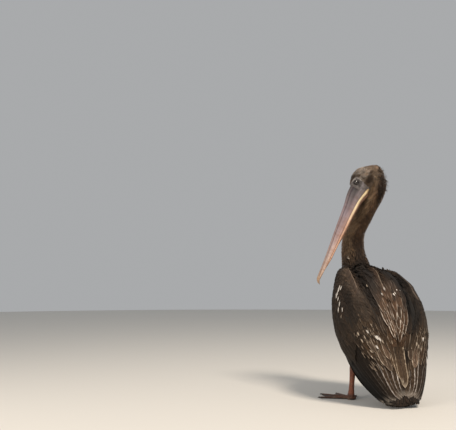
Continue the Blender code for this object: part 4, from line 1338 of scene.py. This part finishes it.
on_wing = np.char.endswith(form_owner, "wing")
on_scapulars = np.char.endswith(form_owner, "scapulars")
small = vane_material("Small feathers of back and wing", 2.6, "2C231B", edge=(0.66, 0.98))


def rounded(along):
    return vane_shape(along, 0.52, 2.0, base=0.25)


def pale_tips(amount):
    """Worn tips, paler on some feathers than on others, by up to this amount and a bit."""
    def fringe(at, turn, base):
        share = amount * chance.uniform(0.0, 1.0, len(base)) ** 1.5 * 1.8
        # The worn tips take the painted light and shade of their place.
        worn = np.array(linear("A8998A")) * shade(at, turn)[:, None]
        return toned(base, worn, np.clip(share, 0, 1))
    return fringe


lay_coat(
    "mantle_feathers",
    np.where((on_body & ~beneath) | on_scapulars, 0.0052 + 0.0016 * body_size, 0),
    0.017 + 0.012 * body_size,
    0.0038 + 0.0018 * body_size,
    (-0.0060, 0.0012),
    small,
    rows=7,
    columns=5,
    shape=lambda along: vane_shape(along, 0.36, 1.6, base=0.25),
    roll=0.10,
    ragged=0.05,
    stray=0.14,
    fringes=pale_tips(0.20),
)
wing_size = smoothstep(6.0 - form_at, 0, 2.2)
lay_coat(
    "shoulder_coverts",
    np.where(on_wing & (form_at > 3.0), 0.0048 + 0.0014 * wing_size, 0),
    0.019 + 0.012 * wing_size,
    0.0046 + 0.0018 * wing_size,
    (-0.0036, 0.0006),
    small,
    rows=7,
    columns=5,
    shape=rounded,
    roll=0.10,
    ragged=0.05,
    stray=0.12,
    fringes=pale_tips(0.14),
)

# ---------------------------------------------------------------- rows of the folded wing
# Behind the shoulder the wing is built of rows: median coverts over greater coverts, those over
# the long secondaries, and the black primaries tucked under the lower edge. In a row each feather
# lies over the next one out, so that of most only the outer edge shows as a pale line.


def wing_course(at, share):
    """Lines down the length of the folded wing: 0 is the back line, 1 the wing's lower edge."""
    return np.interp(at, edge_at, lower_edge) * share


LAID_CAMBER = 0.10           # as LOOSE_CAMBER, for vanes that lie flat in a row


def vane_sheets(side, course, root_at, tip_at, root_share, tip_share, half_width, lift, shape, rows, roll,
                columns=7, ragged=0.03, bridge=2):
    """Grids of points for feathers laid over the body along the lines of a course. lift is their
    height at root and tip, roll tips their outer edge up, ragged wears their edges, and bridge is
    how many times each is straightened over what dips under it."""
    root_at, tip_at, root_share, tip_share, half_width, low, high = np.broadcast_arrays(
        root_at, tip_at, root_share, tip_share, half_width, lift[0], lift[1])
    along, across = spaced(rows, 1.5), np.linspace(-1, 1, columns)
    at = root_at[:, None] + (tip_at - root_at)[:, None] * along[None]
    turn = side * course(at, root_share[:, None] + (tip_share - root_share)[:, None] * along[None] ** 1.3)
    wide = half_width[:, None] * shape(along)[None]
    wide = wide * np.exp(chance.normal(0, ragged, wide.shape))
    per_at = np.linalg.norm(read_grid(along_grid, at, turn), axis=-1)
    per_turn = np.linalg.norm(read_grid(round_grid, at, turn), axis=-1)
    way_at = np.gradient(at, axis=1) * per_at
    way_turn = np.gradient(turn, axis=1) * per_turn
    size = np.maximum(np.hypot(way_at, way_turn), 1e-9)
    reach = wide[:, :, None] * across
    vane_at = at[:, :, None] + reach * (way_turn / size / per_at)[:, :, None]
    vane_turn = turn[:, :, None] - reach * (way_at / size / per_turn)[:, :, None]
    rise = low[:, None] + (high - low)[:, None] * (along**0.8)[None]
    bend = side * roll * across - LAID_CAMBER * across**2
    heights = rise[:, :, None] + bend[None, None] * wide[:, :, None]
    normals = unit(read_grid(normal_grid, vane_at, vane_turn))
    sheets = read_grid(surface_grid, vane_at, vane_turn) + normals * heights[..., None]
    for _ in range(bridge):
        sheets[:, 1:-1] = sheets[:, 1:-1] * 0.5 + (sheets[:, :-2] + sheets[:, 2:]) * 0.25
    return sheets, along, across


def lay_vanes(name, sheets, along, across, material, tone, fringe, replaced=(), spread=0.10,
              tip=None, start=0.93, dull=1.0):
    """One piece of feathers laid side by side. tip is a colour at the very end of each and how strong it is,
    from start on. dull is how far they take on the painted light and shade of the plumage."""
    count = len(sheets)
    middle = sheets[:, :, len(across) // 2]
    length = np.linalg.norm(np.diff(middle, axis=1), axis=-1).sum(1)
    at, turn = body_place(middle.reshape(-1, 3))
    # The painted light and shade of the plumage, as far as dull says; the fringes take them too.
    light_and_shade = shade(at, turn).reshape(count, -1, 1, 1) ** dull
    base = varied(np.broadcast_to(tone, (count, 3)), spread)
    # Painted shade towards each feather's root, where others lie over it.
    depth = ROOT_SHADE + (1 - ROOT_SHADE) * smoothstep(along, 0.1, 0.8)
    colour = base[:, None, None] * depth[None, :, None, None] * light_and_shade
    if tip is not None:
        worn = smoothstep(along, start, start + 0.07) * tip[1]
        colour = colour + (np.array(linear(tip[0])) - colour) * worn[None, :, None, None]
    fringe = np.asarray(fringe)
    fringe = fringe if fringe.ndim == 4 else fringe[..., None, :]
    pale = np.broadcast_to(fringe, (count, len(along), len(across), 3)) * light_and_shade
    return vane_piece(name, sheets, along, across, length, colour, pale, material, replaced)


covert_vane = vane_material("Wing coverts", 2.2, "1E1813", edge=(0.68, 0.94), roughness=0.6)
flight_vane = vane_material("Flight feathers", 3.2, "17120F", edge=(0.76, 0.88), roughness=0.55, gloss=0.12)
black_vane = vane_material("Primaries", 1.9, "0C0A09", edge=(0.90, 0.99), roughness=0.8, relief=0.5,
                           gloss=0.0)


def blunt(along):
    return vane_shape(along, 0.72, 2.4, base=0.15)


def long_blunt(along):
    return vane_shape(along, 0.84, 2.6, base=0.10)


def lance(along):
    return vane_shape(along, 0.45, 1.7, base=0.25)


def wing_tone(share, inner, flank):
    """Feathers darken from the middle of the back to the flank."""
    dark = smoothstep(share, 0.42, 0.75)[:, None]
    return np.array(linear(inner)) * (1 - dark) + np.array(linear(flank)) * dark


def worn_fringe(base, share, along, code, most):
    """Pale edges towards the tips: strong by the middle of the back, faint on the flank, uneven."""
    amount = most * (1 - 0.93 * smoothstep(share, 0.38, 0.66)) * chance.uniform(0.35, 1.0, len(share))
    amount = np.where(chance.random(len(share)) < 0.25, amount * 0.35, amount)
    grown = amount[:, None] * smoothstep(along, 0.45, 0.75)[None]
    return base[:, None] + (np.array(linear(code)) - base)[:, None] * grown[..., None]


ROOTS_STRAY, TIPS_STRAY = 0.014, 0.0112      # how far feathers lie out of line, as a share


def wing_row(name, side, count, span, root_at, tip_at, half_width, lift, shape, material, inner, flank, pale,
             most, rows, tip=None, bridge=2, late=0.05):
    """A row of the folded wing, from its innermost feather outwards. span is the first and last
    feather's share, late how unevenly their tips end, inner and flank their colours there, and
    pale and most the colour and strength of their worn edges."""
    order = np.arange(count) / (count - 1)
    share = span[0] + (span[1] - span[0]) * order + chance.normal(0, ROOTS_STRAY, count)
    tips = tip_at(share) + chance.normal(0, late, count)
    tip_share = share + chance.normal(0, TIPS_STRAY, count)
    lift = (lift[0], lift[1] + chance.uniform(-0.0003, 0.0005, count))
    sheets, along, across = vane_sheets(
        side, wing_course, root_at, tips, share, tip_share, half_width(share), lift, shape, rows, 0.12,
        bridge=bridge)
    base = wing_tone(share, inner, flank)
    fringe = worn_fringe(base, share, along, pale, most)
    return lay_vanes(name, sheets, along, across, material, base, fringe, tip=tip, spread=0.15)


PRIMARIES = 8                # those that show under the folded wing
for word, side in SIDES:
    share = np.linspace(2.42, 2.02, PRIMARIES)
    sheets, along, across = vane_sheets(
        side, turn_of, 3.2, np.linspace(0.04, 0.30, PRIMARIES), share, share, 0.0105, (-0.006, -0.0005),
        long_blunt, rows=18, roll=0.12)
    lay_vanes(f"{word}_primary_feathers", sheets, along, across, black_vane, linear("13110F"),
              linear("24201C"), [f"{word}_primaries"])
    wing_row(
        f"{word}_secondaries", side, 14, (0.08, 0.95), 3.4, lambda share: 0.12 + 0.32 * (1 - share) ** 2,
        lambda share: 0.0135 + 0.0030 * (1 - share), (-0.0085, 0.0000), long_blunt, flight_vane,
        "43372C", "241D17", "E0E0E4", 1.0, 22, bridge=3, tip=("C8C4C0", 0.5),
    )
    wing_row(
        f"{word}_greater_coverts", side, 12, (0.17, 0.92), 4.1, lambda share: 1.15 + 0.80 * share,
        lambda share: 0.0130 - 0.0020 * share, (-0.0065, 0.0004), blunt, covert_vane,
        "4F4031", "2D251D", "C6BAAE", 0.90, 16, late=0.22,
    )
    for row, (first, paler) in enumerate(((1.72, 0.85), (2.22, 0.75), (2.68, 0.50))):
        wing_row(
            f"{word}_median_coverts_{row + 1}", side, 15, (0.22, 0.90), first + 2.4,
            lambda share: first + 0.75 * share, lambda share: 0.0100 - 0.0015 * share,
            (-0.0050, 0.0008 + 0.0003 * row), blunt, covert_vane,
            "4C3F32", "2C241C", "C2B8AE", paler, 12, late=0.16,
        )
    wing_row(
        f"{word}_lesser_coverts", side, 13, (0.30, 0.88), 5.1, lambda share: 3.15 + 0.50 * share,
        lambda share: 0.0095 - 0.0015 * share, (-0.0045, 0.0012), rounded, covert_vane,
        "443B33", "2F2924", "8C8278", 0.35, 10, late=0.20,
    )
    # The two innermost feathers, the tertials, lie on top of the rest: share, tip and half width.
    tertials = ((0.165, 0.085), (0.85, 0.72), (0.0100, 0.0110))
    if word == "right":
        tertials = ((0.16, 0.015), (0.80, 0.58), (0.0100, 0.0150))
    share, tips, half = np.array(tertials)
    sheets, along, across = vane_sheets(
        side, wing_course, 3.2, tips, share * 1.2, share, half, (-0.003, np.array([0.0012, 0.0028])),
        long_blunt, rows=18, roll=0.06, bridge=3)
    lay_vanes(f"{word}_tertials", sheets, along, across, flight_vane, linear("5C4D3F"), linear("B4AA9C"),
              tip=("D2CABE", 0.8))

# ---------------------------------------------------------------- scapulars
# Long pointed feathers rooted at the shoulder lie over the back and the upper edge of both wings,
# and end in a V over the rump. They are reddish brown with buff edges.

SCAPULAR_ROWS = (0.0, 0.30, 0.62, 0.98, 1.38, 1.84, 2.30)      # how far in front of the V each ends
SCAPULAR_DARK, SCAPULAR_PALE = np.array(linear("3E2F20")), np.array(linear("6A5443"))
BUFF_EDGE = np.array(linear("E2DEDA"))
scapular_vane = vane_material("Scapulars", 2.6, "2A1F17", edge=(0.58, 0.86), roughness=0.6)
for word, side in SIDES:
    grids, tones, fringes = [], [], []
    for row, step in enumerate(SCAPULAR_ROWS):
        share = np.arange(0.030 if row % 2 else 0.058, 0.245, 0.056) + chance.normal(0, 0.004, 4)
        tips = 2.40 + 2.3 * (share / 0.25) ** 3 + step + chance.normal(0, 0.05, 4)
        roots = np.minimum(tips + 1.45 - 0.08 * row, 6.1)
        sheets, along, across = vane_sheets(
            side, wing_course, roots, tips, share * 1.15, share, 0.0118 - 0.0005 * row,
            (-0.0025, 0.0046 - 0.0003 * row), lance, rows=14, columns=9, roll=0.08)
        low = (1 - smoothstep(tips, 3.1, 4.4))[:, None] * smoothstep(along, 0.45, 0.85)[None]
        base = toned(SCAPULAR_DARK, SCAPULAR_PALE, chance.random(4))
        base = base * (0.55 + 0.50 * (1 - smoothstep(tips, 3.8, 5.2)))[:, None]
        amount = (0.16 + 0.84 * low) * chance.uniform(0.7, 1, (4, 1))
        pale = base[:, None] + (BUFF_EDGE - base)[:, None] * amount[..., None]
        grids.append(sheets)
        tones.append(base)
        fringes.append(pale)
    lay_vanes(f"{word}_scapular_feathers", np.concatenate(grids), along, across, scapular_vane,
              np.concatenate(tones), np.concatenate(fringes), spread=0.12)

# ---------------------------------------------------------------- folds of the plumage
# Where a wing tucks under the feathers of the back, those along the line lie in a smooth fold with
# a crisp edge over a dark hollow. Each fold is a few feathers laid end over end along its line.


FOLD_DIP = 0.30              # how far the outer edge dips, as a share of the half width


def fold(name, side, line, beside, half_width, lift, tone, pale):
    """line is places along the back and degrees round it; the feathers lie beside it, each with its
    outer edge dipped into the coat and its inner edge free."""
    line = np.array(line)[::-1]
    tips = np.linspace(line[-1, 0] - 0.45, line[0, 0], 4 * len(line))
    sheets, along, across = vane_sheets(
        side, lambda at, turn: np.interp(at, line[:, 0], line[:, 1]) + turn, tips + 0.95, tips, beside,
        beside, half_width, (-0.0030, lift), long_blunt, rows=10, roll=-FOLD_DIP)
    # The paler inner edge is partly the feathers' own pale edge and partly a painted highlight along the
    # fold's crisp edge.
    edge = smoothstep(-side * across, 0.1, 0.9)[None, None, :, None]
    tone, pale = np.array(linear(tone)), np.array(linear(pale))
    fringe = tone + (pale - tone) * edge
    lay_vanes(name, sheets, along, across, fold_vane, tone, fringe, spread=0.12, dull=0.25)


fold_vane = vane_material("Folded feathers", 2.8, None, edge=(0.80, 0.98), roughness=0.6)
LEFT_FOLD = ((6.3, 53), (5.7, 49), (5.3, 47), (5.0, 46), (4.62, 43))
RIGHT_FOLD = ((5.7, 50), (5.1, 46), (4.6, 43), (4.3, 44))
MANTLE_FOLD = ((6.0, -5), (5.6, -1), (5.2, 4), (4.8, 5))
fold("left_wing_fold", 1, LEFT_FOLD, 6.5, 0.0115, 0.0020, "4B413A", "74685F")
fold("right_wing_fold", -1, RIGHT_FOLD, 6.5, 0.0115, 0.0020, "3A322C", "7A7068")
fold("mantle_fold", 1, MANTLE_FOLD, 4.5, 0.0085, 0.0022, "46372B", "A89C8E")

# ---------------------------------------------------------------- worn wing coverts
# A few large coverts over the lower back are a year old. Sun and wear have bleached them to a
# pinkish brown with a pale, worn edge, and they lie on top of the darker new ones.

# Side, where the tip and the root lie along the back and round it, half width and colour.
WORN_COVERTS = (
    (1, 1.35, 2.50, 50, 48, 0.0110, "64564A"), (1, 1.62, 2.70, 37, 36, 0.0105, "6C5C50"),
    (1, 1.15, 2.10, 44, 42, 0.0105, "5C4F44"), (-1, 1.22, 2.45, 46, 43, 0.0130, "7A695D"),
    (-1, 1.55, 2.55, 33, 33, 0.0095, "584A3E"), (1, 2.05, 2.95, 56, 56, 0.0085, "564A40"),
)
for word, side in SIDES:
    mine = [row[1:] for row in WORN_COVERTS if row[0] == side]
    tip_at, root_at, tip_turn, root_turn, half, tone = zip(*mine)
    sheets, along, across = vane_sheets(
        side, lambda at, turn: turn, np.array(root_at), np.array(tip_at), np.array(root_turn, float),
        np.array(tip_turn, float), np.array(half), (-0.003, 0.0034), blunt, rows=14, roll=0.05)
    tones = [linear(code) for code in tone]
    lay_vanes(f"{word}_worn_coverts", sheets, along, across, covert_vane, tones, linear("CBC1B6"))

# ---------------------------------------------------------------- worn white feathers
# Young birds keep some white-edged feathers: a few tips among the wing coverts, streaks at the
# front edge of the wings, and flecks on the mantle.

white_vane = vane_material("White worn feathers", 2.6, "A89E92", edge=(0.72, 0.98), roughness=0.6)
BACKBONE_STEP = 0.065        # about as far as it is from one point of the backbone to the next
WHITE, DINGY = ("6E6862", "F6FAFF"), ("5A5048", "D8D2CA")      # the colours of root and tip
PALE, FLECK = ("5A5048", "C2BAB0"), ("463D35", "857B70")


def white_feathers(name, side, places, colours=WHITE):
    """Small pale feathers: each is a place along the back, degrees round it, length and half width.
    colours are those of root and tip."""
    at, turn, length, half = np.array(places).T
    share = turn / np.interp(at, edge_at, lower_edge)
    sheets, along, across = vane_sheets(
        side, wing_course, at + length / BACKBONE_STEP, at, share, share, half, (-0.002, 0.0042), lance,
        rows=9, columns=5, roll=0.05, ragged=0.16)
    root, tip = colours
    lay_vanes(name, sheets, along, across, white_vane, linear(root), linear(tip), spread=0.14,
              tip=(tip, 1.0), start=0.45, dull=0.0)


white_feathers("left_white_feathers", 1, (
    (5.08, 73, 0.030, 0.0040), (4.88, 78, 0.030, 0.0042), (5.10, 69, 0.022, 0.0026),
    (4.98, 75, 0.024, 0.0026), (5.24, 71, 0.020, 0.0022), (4.70, 76, 0.022, 0.0020),
    (4.42, 75, 0.026, 0.0026), (4.12, 72, 0.024, 0.0022), (4.20, 78, 0.026, 0.0026),
    (2.84, 52, 0.018, 0.0032), (2.50, 44, 0.022, 0.0052), (2.42, 41, 0.019, 0.0034),
    (2.12, 50, 0.017, 0.0032), (4.80, 4, 0.020, 0.0030), (4.86, 2, 0.016, 0.0022),
    (4.56, 15, 0.018, 0.0030),
))
white_feathers("right_white_feathers", -1, (
    (5.10, 73, 0.024, 0.0026), (4.90, 78, 0.022, 0.0022), (4.30, 75, 0.018, 0.0018),
    (2.40, 53, 0.021, 0.0042), (4.56, 11, 0.017, 0.0028), (4.62, 14, 0.014, 0.0018),
    (4.76, 19, 0.015, 0.0022), (4.76, 25, 0.013, 0.0018),
))
FLECKS = 60                  # on each side
for word, side in SIDES:
    spans = ((1.2, 2.95), (38, 72), (0.010, 0.020), (0.0009, 0.0020))
    flecks = np.stack([chance.uniform(least, most, FLECKS) for least, most in spans], -1)
    white_feathers(f"{word}_pale_flecks", side, flecks, FLECK)
white_feathers("left_pale_feathers", 1, (
    (2.84, 63, 0.018, 0.0026), (2.50, 63, 0.018, 0.0022), (2.34, 38, 0.016, 0.0024),
    (2.00, 60, 0.015, 0.0024), (1.75, 63, 0.016, 0.0020), (3.10, 45, 0.024, 0.0012),
    (4.98, 35, 0.012, 0.0016), (3.86, 76, 0.018, 0.0015), (2.62, 58, 0.016, 0.0018),
), PALE)
white_feathers("neck_white_feathers", 1, (
    (7.66, 57, 0.016, 0.0022), (7.74, 60, 0.014, 0.0018), (7.60, 54, 0.013, 0.0016),
    (7.82, 56, 0.012, 0.0016),
), DINGY)
white_feathers("right_pale_feathers", -1, (
    (2.18, 43, 0.018, 0.0034), (1.98, 55, 0.016, 0.0030), (2.95, 64, 0.013, 0.0026),
    (2.10, 48, 0.016, 0.0022),
), PALE)

# ---------------------------------------------------------------- tail
# Short stiff feathers in a fan, dark grey, their worn ends resting on the floor, and over their
# roots two rows of soft dark coverts that close the gap below the rump.

# Down the tail: how far its middle lies behind, its height and half its width.
TAIL_ROWS = np.array([
    (0.086, 0.125, 0.030), (0.112, 0.090, 0.038), (0.134, 0.045, 0.047), (0.150, 0.0, 0.054),
])
TAIL_FEATHERS, TAIL_COVERTS = 16, 14
COVERT_LENGTH = 0.030
COVERT_ROOTS = 0.0055        # how deep the coverts' roots lie under the rump


def build_tail():
    along, across = spaced(12, 1.4), np.linspace(-1, 1, 5)
    fan = np.linspace(-0.90, 0.90, TAIL_FEATHERS)
    wear = chance.normal(0, 0.016, TAIL_FEATHERS)
    reach = 3 * (0.985 - 0.05 * np.abs(fan) + wear).clip(0, 0.995)
    y, z, half = np.moveaxis(smooth_row(TAIL_ROWS, along[None] * reach[:, None]), -1, 0)
    lines = np.stack([half * fan[:, None], y - 0.012 * fan[:, None] ** 2 + 0.001, z], -1) + STANDS_AT
    normals = unit(np.stack([fan * 0.45, np.ones(TAIL_FEATHERS), np.full(TAIL_FEATHERS, 0.30)], -1))
    normals = normals[:, None] + lines * 0
    lift = 0.0025 * (1 - np.abs(fan))[:, None] + along * 0
    half_width = np.full(TAIL_FEATHERS, 0.0115)
    sheets = loose_vanes(lines, normals, half_width, across, lift, long_blunt(along), ragged=0.05)
    sheets[..., 2] = np.maximum(sheets[..., 2], 0.0004)
    base = varied(np.repeat([linear("3C3631")], TAIL_FEATHERS, 0), 0.10)
    vane_piece("tail_feathers", sheets, along, across, np.full(TAIL_FEATHERS, 0.14), base[:, None, None],
               np.array(linear("6E655A")), flight_vane, ["tail"])


def build_tail_coverts():
    along, across = spaced(9, 1.3), np.linspace(-1, 1, 5)
    grids = []
    for row, tip_height in enumerate((0.0065, 0.014)):
        fan = np.linspace(-1, 1, TAIL_COVERTS) + chance.normal(0, 0.03, TAIL_COVERTS)
        low = tip_height + 0.004 * np.abs(fan) + np.abs(chance.normal(0, 0.0025, TAIL_COVERTS))
        height = (low + COVERT_LENGTH)[:, None] * (1 - along) + low[:, None] * along
        wide = 0.036 + 0.012 * along - 0.004 * row
        lines = np.stack([wide[None] * fan[:, None] + STANDS_AT[0], 0 * height, height], -1)
        # Each lies against the back of the body, found by looking forwards from behind it.
        for line in lines:
            reach = 0.150
            for point, share in zip(line, along):
                hit = form_tree.ray_cast(Vector((point[0], 0.4, point[2])), Vector((0, -1, 0)))
                reach = hit[0][1] if hit[0] else reach - 0.0005
                point[1] = reach - COVERT_ROOTS + COVERT_ROOTS * share
        lines[:, 1:-1] = lines[:, 1:-1] * 0.5 + (lines[:, :-2] + lines[:, 2:]) * 0.25
        normals = unit(np.stack([fan * 0.40, np.ones(TAIL_COVERTS), np.full(TAIL_COVERTS, 0.2)], -1))
        normals = normals[:, None] + lines * 0
        lift = np.full((TAIL_COVERTS, 1), 0.0006 * row) + 0.0010 * along
        half_width = np.full(TAIL_COVERTS, 0.0085)
        grids.append(loose_vanes(lines, normals, half_width, across, lift, long_blunt(along), ragged=0.06))
    sheets = np.concatenate(grids)
    base = varied(np.repeat([linear("2C2622")], len(sheets), 0), 0.16)
    length = np.full(len(sheets), COVERT_LENGTH)
    vane_piece("tail_coverts", sheets, along, across, length, base[:, None, None],
               np.array(linear("4A4038")), covert_vane)


build_tail()
build_tail_coverts()

# ---------------------------------------------------------------- floor, light and camera
# The model stands on a plain pale floor, lit by a large soft lamp high behind it and a weak one low
# at its left. The camera stands low behind its left wing and looks a little up at it.

FLOOR_RADIUS = 9.0
CAMERA_PLACE = Vector((1.0730, 1.6651, 0.37))
CAMERA_HEADING = 17.85       # degrees that it looks to the left of the bird's front
CAMERA_TILT = 8.13           # degrees that it looks up
SENSOR, FOCAL_LENGTH = 36.0, 42.0        # millimetres
LAMPS = (                    # place, size in metres, power in watts and colour
    ("key", (-0.55, 2.0, 3.3), 0.8, 130, "FFF2E2"),
    ("fill", (2.6, 0.6, 0.9), 1.3, 27, "FFF3E4"),
)
LIT_AT = Vector((0, 0, 0.4))             # where both lamps point


def build_floor():
    """A matt painted floor, pale and without a pattern, so that only shadows show on it."""
    made = bmesh.new()
    bmesh.ops.create_circle(made, cap_ends=True, segments=96, radius=FLOOR_RADIUS)
    mesh = bpy.data.meshes.new("floor")
    made.to_mesh(mesh)
    made.free()
    paint, _, shader = new_material("Pale floor", Roughness=0.85)
    shader.inputs["Base Color"].default_value = (*linear("D9D6D0"), 1)
    new_piece("floor", mesh, paint)


def build_light():
    world = bpy.data.worlds.new("studio")
    bpy.context.scene.world = world
    world.use_nodes = True
    background = world.node_tree.nodes["Background"]
    background.inputs["Color"].default_value = (*linear("E6E8EA"), 1)
    background.inputs["Strength"].default_value = 0.50
    for name, place, size, power, colour in LAMPS:
        lamp = bpy.data.lights.new(name, "AREA")
        lamp.size, lamp.energy, lamp.color = size, power, linear(colour)
        light = bpy.data.objects.new(name, lamp)
        light.location = place
        light.rotation_mode = "QUATERNION"
        light.rotation_quaternion = (LIT_AT - light.location).to_track_quat("-Z", "Y")
        bpy.context.scene.collection.objects.link(light)


def build_camera():
    lens = bpy.data.cameras.new("camera")
    lens.sensor_width, lens.lens = SENSOR, FOCAL_LENGTH
    camera = bpy.data.objects.new("camera", lens)
    camera.location = CAMERA_PLACE
    camera.rotation_euler = (math.radians(90 + CAMERA_TILT), 0, math.radians(180 - CAMERA_HEADING))
    bpy.context.scene.collection.objects.link(camera)
    bpy.context.scene.camera = camera
    bpy.context.scene.view_settings.view_transform = "Standard"


build_floor()
build_light()
build_camera()
